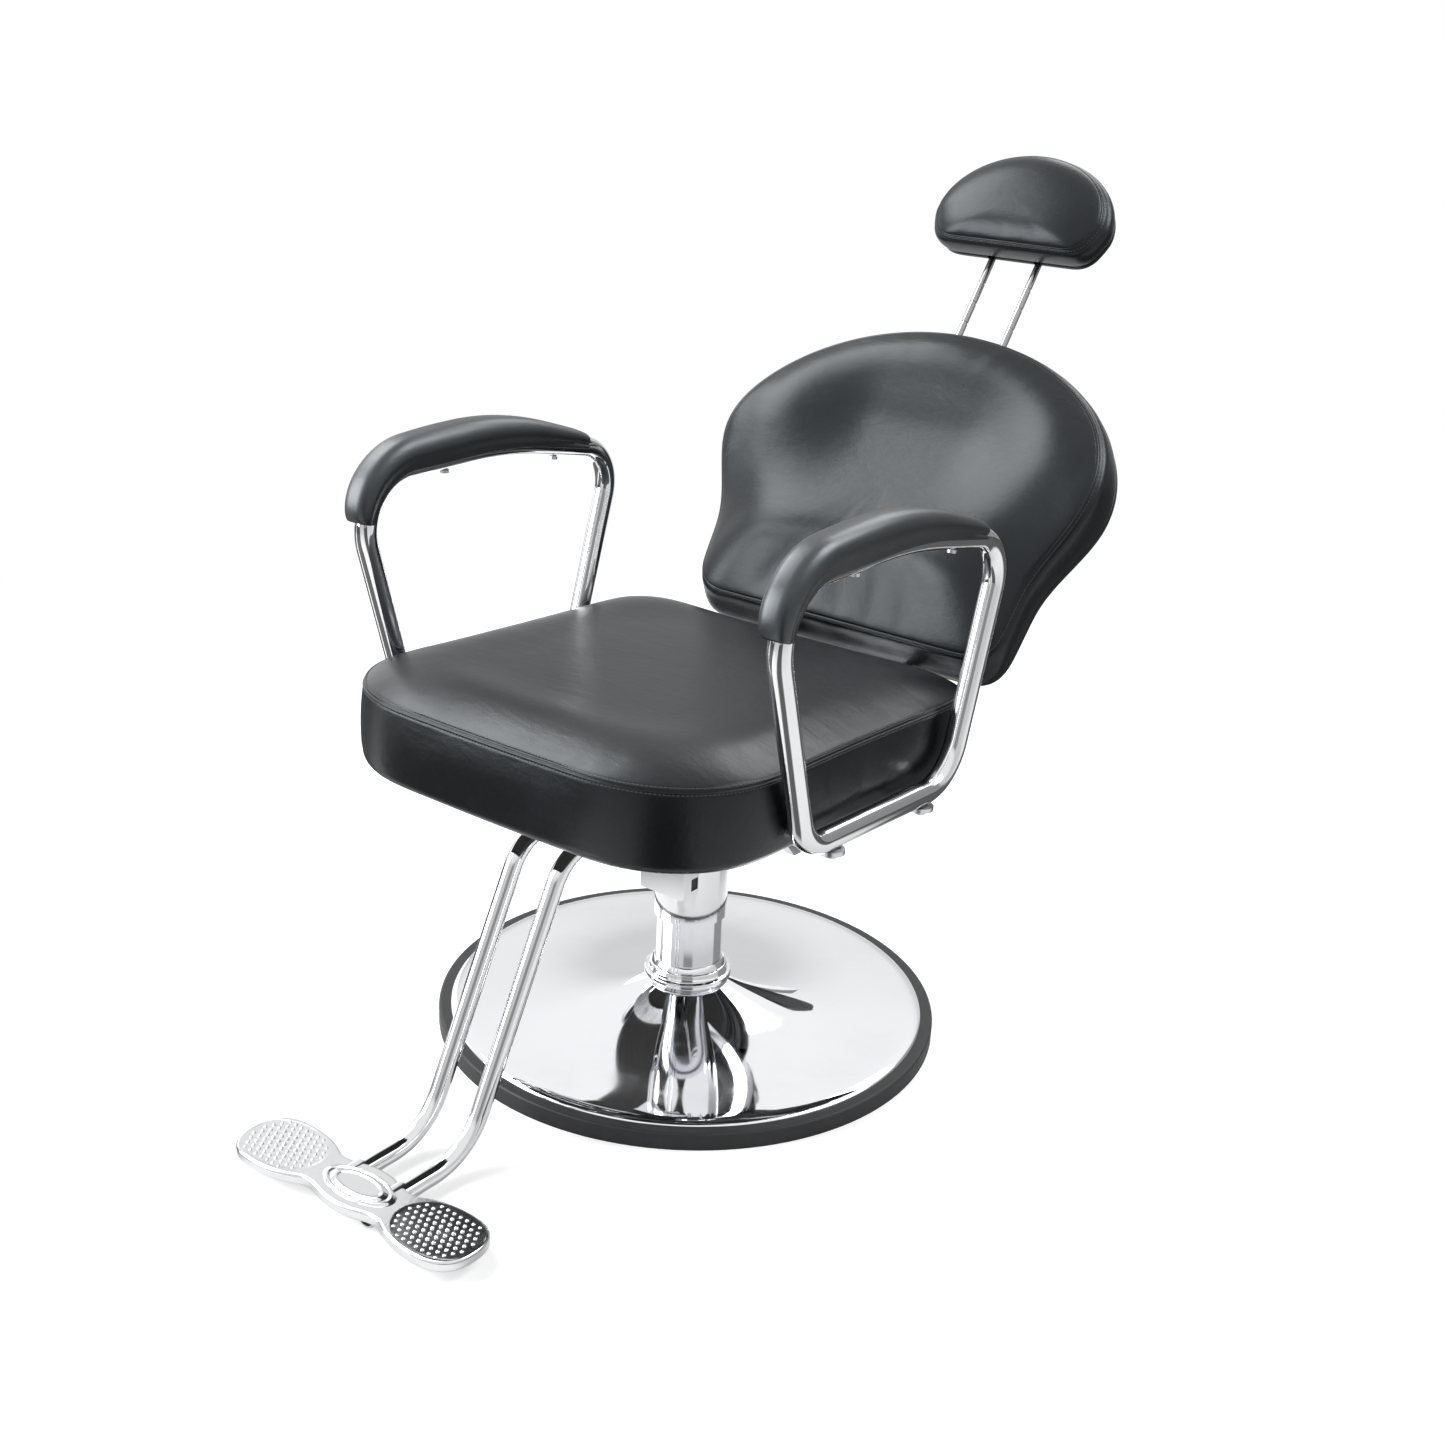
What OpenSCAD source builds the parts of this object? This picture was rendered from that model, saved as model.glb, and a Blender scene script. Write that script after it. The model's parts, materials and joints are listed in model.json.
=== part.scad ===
// Reclining hydraulic salon chair.
// +Z is up, the sitter faces -Y and the sitter's left is +X.
// The origin is on the axis of the pump, at the floor.

/* [Base] */
// Diameter over the rubber rim
base_d = 590; // [540:5:660]
// Height of the rubber rim above the floor
rim_h = 20; // [15:0.5:26]
// Radial width of the rubber rim
rim_w = 14; // [8:0.5:20]
// Thickness of the rubber under the dome
rim_floor_t = 3.5; // [2:0.5:5]
// Radial width of the dome's rolled shoulder
shoulder_w = 14; // [8:1:22]
// Rise of the rolled shoulder above the rim
shoulder_h = 4; // [3:0.5:12]
// Rise of the dome from its shoulder to the collar
dome_rise = 31; // [20:1:45]
// Sheet thickness of the dome
dome_t = 2; // [1.2:0.1:3]
// Thickness of the cast base weight
weight_t = 10; // [6:1:11]

/* [Column] */
// Outer diameter of the fixed chrome sleeve
sleeve_d = 79; // [70:1:90]
// Wall of the fixed sleeve
sleeve_wall = 2; // [1.5:0.1:3]
// Height of the sleeve's top above the floor
sleeve_top = 252; // [235:1:258]
// Wall of the pump head's skirt
skirt_wall = 2.8; // [2:0.1:4]
// Height of the skirt's lower edge at the lowest seat
skirt_z = 135; // [125:1:160]
// Outer diameter of the sliding pump cylinder
cylinder_d = 60; // [52:1:66]
// Wall of the pump cylinder
cylinder_wall = 4; // [3:0.5:5]
// Diameter of the ram
ram_d = 30; // [24:1:34]
// Lift of the seat
lift_stroke = 140; // [100:5:145]
// Largest diameter of the trim collar on the dome
collar_d = 104; // [98:1:120]

/* [Pedal] */
// Reach of the pedal pad behind the column's axis
pedal_reach = 262; // [230:2:300]
// Height of the pedal pad's top at the lowest seat
pedal_z = 158; // [145:1:170]
// Width of the pedal arm
pedal_arm_w = 14; // [10:1:16]
// Width of the pedal pad
pedal_pad_w = 84; // [60:2:100]

/* [Seat] */
// Height of the seat frame's top at the column's axis
frame_z = 344; // [338:1:360]
// Backward tilt of the seat
seat_tilt = 2.5; // [0:0.5:4]
// Width of the seat cushion
seat_w = 516; // [480:2:524]
// Reach of the seat cushion in front of the axis
seat_front = 348; // [320:2:380]
// Reach of the seat cushion behind the axis
seat_rear = 195; // [180:1:198]
// Height of the cushion's boxing, from board to seam
seat_boxing = 81; // [60:1:100]
// Crown of the seat above its seam
seat_crown = 22; // [10:1:35]
// Plan radius of the front corners
seat_front_r = 130; // [60:5:160]
// Plan radius of the rear corners
seat_rear_r = 62; // [40:2:90]
// Thickness of the seat board
seat_board_t = 9; // [8:0.5:12]

/* [Frame] */
// Width of a cross bar
bar_w = 30; // [24:1:36]
// Thickness of a cross bar
bar_t = 5; // [4:0.5:6]
// Place of the front cross bar in front of the axis
front_bar = 133; // [120:1:150]
// Place of the rear cross bar behind the axis
rear_bar = 38; // [30:1:60]
// Height of a side rail
rail_h = 20; // [16:1:24]
// Width of a side rail
rail_w = 30; // [24:1:34]
// Distance of a side rail from the middle
rail_x = 92; // [88:1:100]
// Thickness of the mounting plate on the pump
plate_t = 6; // [5:0.5:8]

/* [Arms] */
// Distance of an arm's tube from the middle
arm_x = 276; // [275:1:290]
// Outer diameter of the arm tube
arm_d = 25; // [20:0.5:26]
// Wall of the arm and footrest tubes
tube_wall = 1.6; // [1.2:0.1:2.5]
// Height of the arm's front corner above the seat frame
arm_front_h = 291; // [270:1:300]
// Height of the arm's crest above the seat frame
arm_crest_h = 306; // [302:1:320]
// Height of the arm's rear corner above the seat frame
arm_rear_h = 280; // [265:1:288]
// Reach of the arm's front corner in front of the axis
arm_front = 277; // [260:1:290]
// Reach of the arm's rear corner behind the axis
arm_rear = 152; // [140:1:160]
// Reach of the front leg's foot in front of the axis
arm_front_foot = 184; // [178:1:200]
// Reach of the rear leg's foot behind the axis
arm_rear_foot = 88; // [84:1:110]
// Half width of the arm pad at its widest
pad_half_w = 23; // [20:1:28]
// Height of the arm pad over the tube's centre line
pad_h = 39; // [34:1:48]

/* [Footrest] */
// Outer diameter of a footrest tube
foot_tube_d = 20; // [18:0.5:22]
// Distance of a footrest tube from the middle
foot_tube_x = 30; // [27:1:34]
// Height of the footrest tubes' upper run
foot_top_z = 306; // [300:1:312]
// Height of the footrest tubes' lower run
foot_low_z = 14; // [14:0.5:24]
// Reach of the tubes' upper bend in front of the axis
foot_top_y = 258; // [250:1:270]
// Reach of the tubes' lower bend in front of the axis
foot_low_y = 404; // [380:2:420]
// Reach of the footplate's middle in front of the axis
plate_y = 523; // [505:1:545]
// Length of the footplate, side to side
plate_len = 322; // [280:2:340]
// Thickness of the footplate's lobes
footplate_t = 12; // [9:0.5:14]

/* [Back] */
// Reach of the back's hinge behind the axis
hinge_y = 230; // [226:1:245]
// Height of the back's hinge
hinge_z = 348; // [342:1:352]
// Recline of the back from upright, as drawn
recline = 37; // [32:1:42]
// Distance from the hinge up to the back's lower seam
back_seam_s = 84; // [78:1:95]
// Reach of the front seam's plane ahead of the hinge
back_seam_y = 23; // [20:1:28]
// Height of the back cushion
back_h = 411; // [380:2:440]
// Width of the back at its shoulders
back_w = 532; // [490:2:560]
// Width of the back at its waist
back_waist_w = 446; // [400:2:470]
// Height of the shoulders above the lower seam
shoulder_s = 228; // [210:2:250]
// Depth of the cushion from seam to board
back_foam = 32; // [26:1:40]
// Forward reach of the wings at the shoulders
wing = 19; // [0:1:30]
// Thickness of the back board
back_board_t = 12; // [9:1:15]

/* [Headrest] */
// Diameter of a headrest post
post_d = 9; // [8:0.5:12]
// Distance of a post from the middle
post_x = 34; // [30:1:40]
// Gap from the top of the back to the headrest, as drawn
head_gap = 137; // [110:1:150]
// Width of the headrest
head_w = 236; // [200:2:260]
// Height of the headrest
head_h = 130; // [110:1:145]
// Depth of the headrest cushion from seam to board
head_foam = 26; // [22:0.5:27]
// Pitch of the notches along the posts
notch_pitch = 30; // [25:1:35]

/* [Recline gear] */
// Distance of the lock strut from the middle, on the sitter's right
strut_x = 64; // [62:1:65]
// Diameter of the strut's cylinder
strut_d = 22; // [18:1:24]
// Reach of the strut's front anchor in front of the axis
strut_front = 60; // [54:1:80]
// Height of the strut's front anchor
strut_z = 290; // [286:1:292]
// Length of the tab that the strut pushes, below the hinge
tab_len = 40; // [36:1:42]
// Reach of the recline lever's handle from the middle
lever_reach = 250; // [220:2:262]

/* [Hidden] */

// Gap between soft solids and their neighbours
soft_gap = 0.3;
// Radial gap of a running fit
run_gap = 0.05;
// Radial gap of a bolt in its hole
bolt_gap = 0.3;
// Step and lap where a tube's straight run meets its bend
run_step = 0.12;
run_lap = 1;
$fn = 96;

// --- base ---
base_r = base_d / 2;
dome_r = base_r - rim_w;
dome_flat_r = dome_r - shoulder_w;
dome_flat_z = rim_h + shoulder_h;
dome_top_z = dome_flat_z + dome_rise;
dome_hole_r = sleeve_d / 2 + 3;
dome_power = 3.4;
rim_round = 3;
rim_inner_r = dome_r - 14;
weight_z = rim_floor_t;
weight_top = weight_z + weight_t;
weight_r = dome_r - 8;
weight_hub_r = 82;
flange_t = 8;
flange_r = 68;
flange_top = weight_top + flange_t;
flange_bolt_r = 55;
flange_bolt_d = 10;
collar_r = collar_d / 2;
collar_bore_r = sleeve_d / 2 + bolt_gap;

// --- column, from the foot flange upwards ---
sleeve_r = sleeve_d / 2;
cup_r = sleeve_r - sleeve_wall - 1.2;
cup_bore_r = ram_d / 2 + 11;
cup_top = flange_top + 30;
race_t = 3;
ball_r = 3;
ball_ring_r = ram_d / 2 + 3;
race_in_r = ram_d / 2 - 3;
race_out_r = ram_d / 2 + 9;
ball_gap = 0.15;
ball_z = flange_top + race_t + ball_r + ball_gap;
upper_race_z = ball_z + ball_r + ball_gap;
ram_z = upper_race_z + race_t;
ram_flange_t = 8;
ram_flange_r = race_out_r;
retainer_z = ram_z + ram_flange_t + soft_gap;
retainer_t = cup_top - retainer_z;
ram_r = ram_d / 2;
gland_t = 12;
gland_z = cup_top + 2;
cylinder_r = cylinder_d / 2;
cylinder_bore_r = cylinder_r - cylinder_wall;
piston_t = 16;
piston_z = gland_z + gland_t + lift_stroke + 3;
ram_top = piston_z + piston_t;
bush_h = 24;

// --- pump head ---
skirt_bore_r = sleeve_r + 0.7;
head_r = skirt_bore_r + skirt_wall;
head_floor_z = sleeve_top + 5;
cylinder_top = head_floor_z + 5;
head_flange_r = 50;
spigot_h = 16;
head_box_x = 32;
head_box_y = 56;
head_box_z = 177;
lever_slot_w = pedal_arm_w + 2;
lever_slot_z = cylinder_top + 4;
lever_slot_h = 34;
lever_slot_rear = 22;
lever_pin_y = -44;
lever_pin_r = 5;
lever_root_h = 14;
lever_pin_z = lever_slot_z + lever_slot_h - lever_root_h / 2 - 3;
plunger_r = 5;
plunger_top_z = lever_pin_z - lever_root_h / 2 - soft_gap;
window_w = 12;
window_h = 15;
window_z = 185;
window_y = -42;

// --- seat frame: v runs backwards and w upwards from the top of the cross bars ---
plate_top_w = -bar_t - rail_h;
plate_low_w = plate_top_w - plate_t;
plate_half = 60;
pump_bolt_p = 34;
rail_front = front_bar + 32;
rail_rear = 204;
seat_cushion_w = seat_board_t + soft_gap;
seat_board_inset = 22;
arm_run_w = arm_d / 2 + run_step;
bolt_r = 4;
bolt_head_r = 6.5;
bolt_head_h = 5;
arm_bolt_x = arm_x;
bar_end_x = arm_x + 14;
rail_bolt_x = rail_x;
side_bolt_x = 190;

// --- arms ---
arm_r = arm_d / 2;
arm_bore_r = arm_r - tube_wall;
arm_path = [
  [-arm_front, arm_front_h],
  [-43, arm_crest_h],
  [arm_rear, arm_rear_h],
  [arm_rear_foot, arm_run_w],
  [-arm_front_foot, arm_run_w]
];
arm_bends = [64, 600, 52, 60, 45];
pad_groove_r = arm_r + 0.8;
pad_screw_v = [-139, 44];
pad_screw_r = 2.5;
pad_screw_head_r = 5;
pad_screw_head_h = 3.5;
pad_screw_bite = 12;
pad_nose_turn = 78;
pad_tail = 52;

// --- footrest ---
foot_tube_r = foot_tube_d / 2;
foot_bore_r = foot_tube_r - tube_wall;
foot_tail_y = -plate_y - 12;
foot_head_y = -150;
foot_path = [
  [foot_head_y, foot_top_z],
  [-foot_top_y, foot_top_z],
  [-foot_low_y, foot_low_z],
  [foot_tail_y, foot_low_z]
];
foot_bends = [0, 50, 75, 0];
socket_wall = 2.5;
socket_front_y = -228;
socket_rear_y = foot_head_y + 12;
foot_hole_r = foot_tube_r + run_step + run_gap;
socket_half = foot_hole_r + socket_wall;
lobe_t = footplate_t;
plate_top_z = foot_low_z + foot_tube_r + 1.5;
lobe_z = plate_top_z - lobe_t;

// --- back frame: origin on the hinge, z along the back, y to the rear ---
seam_y = -back_seam_y;
foam_rear = seam_y + back_foam;
board_y = foam_rear + soft_gap;
board_rear = board_y + back_board_t;
cover_t = 18;
cover_wall = 2.5;
post_y = board_rear + 9;
back_centre_s = 195;
bracket_x = rail_x;
bracket_t = 6;
eye_r = 15;
pin_r = 5;
torsion_r = 9;
tab_t = 8;
tab_pin_r = 4;
tab_slack = 2.6;

// --- headrest, in the back frame ---
back_top_s = back_seam_s + back_h;
head_low_s = back_top_s + head_gap + 6;
head_seam_y = seam_y + 12;
head_foam_rear = head_seam_y + head_foam;
head_board_y = head_foam_rear + soft_gap;
head_board_t = 9;
head_cover_t = 12;
post_r = post_d / 2;
post_low_s = back_top_s - 150;
post_top_s = head_low_s + 78;
guide_len = 62;
guide_r = 8;
notch_depth = 0.8;
notch_w = 3;
notch_first_s = head_low_s - 40;

// --- strut and lever ---
strut_r = strut_d / 2;
tab_y = hinge_y;
tab_z = hinge_z - tab_len;
strut_dy = tab_y + strut_front;
strut_dz = tab_z - strut_z;
strut_len = norm([strut_dy, strut_dz]);
strut_angle = atan2(strut_dz, strut_dy);
strut_rod_r = 4;
strut_cyl_len = 160;
lever_r = 5;
lever_y = -strut_front - 26;
lever_z = strut_z;
lever_arm = 92;

// ================= shared shapes =================

function unit(v) = v / norm(v);
function clip(v) = max(-1, min(1, v));
function turn_at(p, q, r) = acos(clip(unit(q - p) * unit(r - q)));
function side_of(p, q, r) = sign((q - p)[0] * (r - q)[1] - (q - p)[1] * (r - q)[0]);
function setback(p, q, r, bend) = bend * tan(turn_at(p, q, r) / 2);
function bend_centre(p, q, r, bend) = q + unit(unit(p - q) + unit(r - q)) * bend / cos(turn_at(p, q, r) / 2);
function before(path, i) = path[(i + len(path) - 1) % len(path)];
function after(path, i) = path[(i + 1) % len(path)];
function trim_at(path, bends, i) =
  bends[i] == 0 ? 0 : setback(before(path, i), path[i], after(path, i), bends[i]);
function bend_start(path, bends, i) =
  path[i] + unit(before(path, i) - path[i]) * trim_at(path, bends, i);
function bend_end(path, bends, i) =
  path[i] + unit(after(path, i) - path[i]) * trim_at(path, bends, i);
function angle_of(v) = atan2(v[1], v[0]);

// A round bar along a flat path of straight runs and true bends, in the XY plane.
// Each run is a hair thicker than the bends and reaches into them.
module bent_bar(path, bends, r, closed = false) {
  $fn = 32;
  n = len(path);
  runs = closed ? n : n - 1;
  for (i = [0 : runs - 1]) {
    j = (i + 1) % n;
    a = bend_end(path, bends, i);
    b = bend_start(path, bends, j);
    dir = unit(b - a);
    from = bends[i] > 0 ? a - dir * run_lap : a;
    to = bends[j] > 0 ? b + dir * run_lap : b;
    translate([from[0], from[1], 0])
      rotate([0, 90, angle_of(dir)])
        cylinder(h = norm(to - from), r = r + run_step);
  }
  for (i = [0 : n - 1]) {
    if (bends[i] > 0) {
      o = bend_centre(before(path, i), path[i], after(path, i), bends[i]);
      left = side_of(before(path, i), path[i], after(path, i)) > 0;
      first = left ? bend_start(path, bends, i) : bend_end(path, bends, i);
      translate([o[0], o[1], 0])
        rotate([0, 0, angle_of(first - o)])
          rotate_extrude(angle = turn_at(before(path, i), path[i], after(path, i)))
            translate([bends[i], 0])
              rotate(90)
                circle(r = r);
    }
  }
}

// Turns the XY plane into the YZ plane: x becomes y, y becomes z, z becomes x.
module in_side_plane(x = 0) {
  translate([x, 0, 0])
    rotate([90, 0, 90])
      children();
}

// Places things in the tilted seat frame.
module in_seat_frame() {
  translate([0, 0, frame_z])
    rotate([-seat_tilt, 0, 0])
      children();
}

// Places things in the reclined back frame.
module in_back_frame() {
  translate([0, hinge_y, hinge_z])
    rotate([-recline, 0, 0])
      children();
}

// Places things along the lock strut, from its front anchor, with z along the strut.
module in_strut_frame() {
  translate([-strut_x, -strut_front, strut_z])
    rotate([strut_angle - 90, 0, 0])
      children();
}

module both_sides(x) {
  for (s = [-1, 1]) {
    translate([s * x, 0, 0])
      children();
  }
}

// A rod along X, centred.
module cross_rod(r, length) {
  rotate([0, 90, 0])
    cylinder(h = length, r = r, center = true);
}

// A closed soft solid through rings of points, each ring with the same count.
module loft(rings) {
  n = len(rings[0]);
  m = len(rings);
  ends = [mean(rings[0]), mean(rings[m - 1])];
  sides = [
    for (k = [0 : m - 2], i = [0 : n - 1]) each [
      [k * n + i, (k + 1) * n + i, (k + 1) * n + (i + 1) % n],
      [k * n + i, (k + 1) * n + (i + 1) % n, k * n + (i + 1) % n]
    ]
  ];
  low = [for (i = [0 : n - 1]) [m * n, i, (i + 1) % n]];
  high = [for (i = [0 : n - 1]) [m * n + 1, (m - 1) * n + (i + 1) % n, (m - 1) * n + i]];
  polyhedron(concat([for (r = rings) each r], ends), concat(sides, low, high));
}

function mean(pts, i = 0, total = [0, 0, 0]) =
  i == len(pts) ? total / len(pts) : mean(pts, i + 1, total + pts[i]);

// ================= base =================

function dome_z(r) =
  dome_flat_z + dome_rise * pow((dome_flat_r - r) / (dome_flat_r - dome_hole_r), dome_power);
dome_steps = 18;
dome_curve = [for (i = [0 : dome_steps])
  let (r = dome_flat_r + (dome_hole_r - dome_flat_r) * pow(i / dome_steps, 0.7)) [r, dome_z(r)]];
shoulder_curve = [for (a = [0 : 15 : 75])
  [dome_r - shoulder_w * (1 - cos(a)), rim_h + shoulder_h * sin(a)]];

// Spun sheet dome: a vertical lip, a rolled shoulder and a trumpet rise to the collar.
module base_dome() {
  outer = concat([[dome_r, rim_floor_t + soft_gap]], shoulder_curve, dome_curve);
  inner = concat(
    [for (i = [len(dome_curve) - 1 : -1 : 0]) dome_curve[i] - [0, dome_t]],
    [[dome_r - dome_t, rim_h]],
    [[dome_r - dome_t, rim_floor_t + soft_gap]]
  );
  color("gainsboro")
    rotate_extrude()
      polygon(concat(outer, inner));
}

// Rubber ring round the dome's lip, with a flat that the base stands on.
module base_rim_ring() {
  lip_r = dome_r + soft_gap / 2;
  round_pts = [for (a = [0 : 30 : 90])
    [base_r - rim_round * (1 - cos(a)), rim_h - rim_round * (1 - sin(a))]];
  color("dimgray")
    rotate_extrude()
      polygon(concat(
        [[rim_inner_r, 0], [base_r, 0]],
        round_pts,
        [[lip_r, rim_h], [lip_r, rim_floor_t], [rim_inner_r, rim_floor_t]]
      ));
}

module base_weight() {
  color("darkslategray")
    difference() {
      translate([0, 0, weight_z])
        cylinder(h = weight_t, r = weight_r - dome_t);
      for (a = [45 : 90 : 359]) {
        rotate([0, 0, a])
          translate([flange_bolt_r, 0, 0])
            cylinder(h = flange_top, r = flange_bolt_d / 2 + bolt_gap);
      }
    }
}

// Flange and bearing cup that the whole column stands in.
module pump_foot() {
  color("gray")
    difference() {
      union() {
        translate([0, 0, weight_top])
          cylinder(h = flange_t, r = flange_r);
        translate([0, 0, flange_top])
          cylinder(h = cup_top - flange_top, r = cup_r);
      }
      translate([0, 0, flange_top])
        cylinder(h = cup_top, r = cup_bore_r);
      for (a = [45 : 90 : 359]) {
        rotate([0, 0, a])
          translate([flange_bolt_r, 0, 0])
            cylinder(h = cup_top, r = flange_bolt_d / 2 + bolt_gap);
      }
    }
}

module foot_flange_bolts() {
  color("silver")
    for (a = [45 : 90 : 359]) {
      rotate([0, 0, a])
        translate([flange_bolt_r, 0, 0]) {
          translate([0, 0, weight_z + 1])
            cylinder(h = flange_top - weight_z - 1, r = flange_bolt_d / 2);
          translate([0, 0, flange_top])
            cylinder(h = 6, r = 8.5, $fn = 6);
        }
    }
}

// Stepped trim ring that hides the dome's hole.
module base_collar() {
  step_1 = dome_top_z + 7;
  step_2 = step_1 + 10;
  step_3 = step_2 + 7;
  neck_r = collar_r - 5.5;
  color("lightgray")
    rotate_extrude()
      polygon([
        [collar_bore_r, dome_top_z],
        [collar_r - 1.5, dome_top_z],
        [collar_r, dome_top_z + 2],
        [collar_r, step_1 - 2],
        [collar_r - 1.5, step_1],
        [neck_r, step_1 + 1],
        [neck_r, step_2 - 2],
        [neck_r - 1.5, step_2],
        [collar_bore_r + 2, step_3],
        [collar_bore_r, step_3]
      ]);
}

// ================= column =================

module column_sleeve() {
  color("lightgray")
    difference() {
      translate([0, 0, flange_top])
        cylinder(h = sleeve_top - flange_top, r = sleeve_r);
      translate([0, 0, flange_top - 1])
        cylinder(h = sleeve_top, r = sleeve_r - sleeve_wall);
    }
}

// Nylon bush in the sleeve's mouth that guides the pump cylinder.
module guide_bush() {
  color("ivory")
    translate([0, 0, sleeve_top - bush_h])
      difference() {
        cylinder(h = bush_h, r = sleeve_r - sleeve_wall);
        translate([0, 0, -1])
          cylinder(h = bush_h + 2, r = cylinder_r + run_gap);
      }
}

module race(z) {
  translate([0, 0, z])
    difference() {
      cylinder(h = race_t, r = race_out_r);
      translate([0, 0, -1])
        cylinder(h = race_t + 2, r = race_in_r);
    }
}

module thrust_race_lower() {
  color("silver")
    race(flange_top);
}

module thrust_balls() {
  color("whitesmoke")
    for (a = [0 : 30 : 359]) {
      rotate([0, 0, a])
        translate([ball_ring_r, 0, ball_z])
          sphere(r = ball_r, $fn = 24);
    }
}

module thrust_race_upper() {
  color("silver")
    race(upper_race_z);
}

// Threaded ring that keeps the ram's foot on its bearing.
module ram_retainer() {
  color("slategray")
    translate([0, 0, retainer_z])
      difference() {
        cylinder(h = retainer_t, r = cup_bore_r);
        translate([0, 0, -1])
          cylinder(h = retainer_t + 2, r = ram_r + run_gap);
      }
}

module ram() {
  groove = 2;
  color("gainsboro")
    difference() {
      union() {
        translate([0, 0, ram_z])
          cylinder(h = ram_flange_t, r = ram_flange_r);
        translate([0, 0, ram_z])
          cylinder(h = ram_top - ram_z, r = ram_r);
        translate([0, 0, piston_z])
          cylinder(h = piston_t, r = cylinder_bore_r - run_gap);
      }
      translate([0, 0, piston_z + piston_t / 2 - groove])
        difference() {
          cylinder(h = 2 * groove, r = cylinder_bore_r + 1);
          translate([0, 0, -1])
            cylinder(h = 2 * groove + 2, r = cylinder_bore_r - 3);
        }
    }
}

module piston_seal() {
  seal_h = 3.6;
  color("black")
    translate([0, 0, piston_z + (piston_t - seal_h) / 2])
      difference() {
        cylinder(h = seal_h, r = cylinder_bore_r - run_gap);
        translate([0, 0, -1])
          cylinder(h = seal_h + 2, r = cylinder_bore_r - 3);
      }
}

module pump_cylinder() {
  color("silver")
    difference() {
      translate([0, 0, gland_z])
        cylinder(h = cylinder_top - gland_z, r = cylinder_r);
      translate([0, 0, gland_z - 1])
        cylinder(h = cylinder_top, r = cylinder_bore_r);
    }
}

module cylinder_gland() {
  color("darkgray")
    translate([0, 0, gland_z])
      difference() {
        cylinder(h = gland_t, r = cylinder_bore_r);
        translate([0, 0, -1])
          cylinder(h = gland_t + 2, r = ram_r + run_gap);
      }
}

// Cast head: a skirt over the sleeve, a solid crown on the cylinder, and a box for the lever's pin.
module pump_head() {
  crown_z = lever_slot_z + lever_slot_h - 4;
  color("whitesmoke")
    difference() {
      union() {
        difference() {
          union() {
            translate([0, 0, skirt_z])
              cylinder(h = frame_z - skirt_z, r = head_r);
            translate([-head_box_x, -head_box_y, head_box_z])
              cube([2 * head_box_x, head_box_y, frame_z - head_box_z]);
            translate([0, 0, crown_z])
              cylinder(h = frame_z - crown_z, r = head_flange_r);
          }
          // room for the fixed sleeve
          translate([0, 0, skirt_z - 1])
            cylinder(h = head_floor_z - skirt_z + 1, r = skirt_bore_r);
          // socket of the pump cylinder
          translate([0, 0, head_floor_z - 1])
            cylinder(h = cylinder_top - head_floor_z + 1, r = cylinder_r);
        }
        // spigot inside the cylinder
        translate([0, 0, cylinder_top - spigot_h])
          cylinder(h = spigot_h + 1, r = cylinder_bore_r - run_gap);
      }
      // slot that the pedal arm swings in, open to the rear
      translate([-lever_slot_w / 2, lever_pin_y - 11, lever_slot_z])
        cube([lever_slot_w, 200, lever_slot_h]);
      translate([-lever_slot_w / 2, lever_slot_rear, head_floor_z - 3])
        cube([lever_slot_w, 200, lever_slot_z - head_floor_z + 4]);
      // bore of the lever's pin
      translate([0, lever_pin_y, lever_pin_z])
        cross_rod(lever_pin_r, 2 * head_box_x + 2);
      // bore of the plunger
      translate([0, 0, skirt_z])
        cylinder(h = lever_slot_z + 1 - skirt_z, r = plunger_r + run_gap);
      // window in the box's side
      translate([head_box_x - 4, window_y, window_z])
        cube([10, window_w, window_h]);
      // top, cut parallel to the tilted mounting plate
      in_seat_frame()
        translate([-150, -150, plate_low_w])
          cube([300, 300, 100]);
      pump_bolt_holes(bolt_r);
    }
}

module pump_bolt_holes(r) {
  in_seat_frame()
    for (x = [-1, 1], y = [-1, 1]) {
      translate([x * pump_bolt_p, y * pump_bolt_p, plate_low_w - 14])
        cylinder(h = 60, r = r);
    }
}

// Black plastic plug in the head's side window.
module window_plug() {
  color("black")
    translate([head_box_x - 4, window_y + 0.2, window_z + 0.2])
      cube([2.5, window_w - 0.4, window_h - 0.4]);
}

// ================= pedal and plunger =================

module pedal_pin() {
  color("silver")
    translate([0, lever_pin_y, lever_pin_z])
      cross_rod(lever_pin_r - run_gap, 2 * head_box_x);
}

pad_t = 6;
pedal_drop_y = head_r + 34;
pedal_foot_z = pedal_z - pad_t - pedal_arm_w;

// Forged arm: flat inside the head, then bent down to the pad.
module pedal_arm() {
  outline = [
    [lever_pin_y, lever_pin_z - lever_root_h / 2],
    [pedal_drop_y, lever_pin_z - lever_root_h / 2],
    [pedal_reach - 60, pedal_foot_z],
    [pedal_reach + 22, pedal_foot_z],
    [pedal_reach + 22, pedal_foot_z + pedal_arm_w],
    [pedal_reach - 54, pedal_foot_z + pedal_arm_w],
    [pedal_drop_y + 8, lever_pin_z + lever_root_h / 2],
    [lever_pin_y, lever_pin_z + lever_root_h / 2]
  ];
  color("dimgray")
    difference() {
      in_side_plane(-pedal_arm_w / 2)
        linear_extrude(pedal_arm_w)
          union() {
            polygon(outline);
            translate([lever_pin_y, lever_pin_z])
              circle(r = lever_root_h / 2);
          }
      translate([0, lever_pin_y, lever_pin_z])
        cross_rod(lever_pin_r, 40);
    }
}

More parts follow.
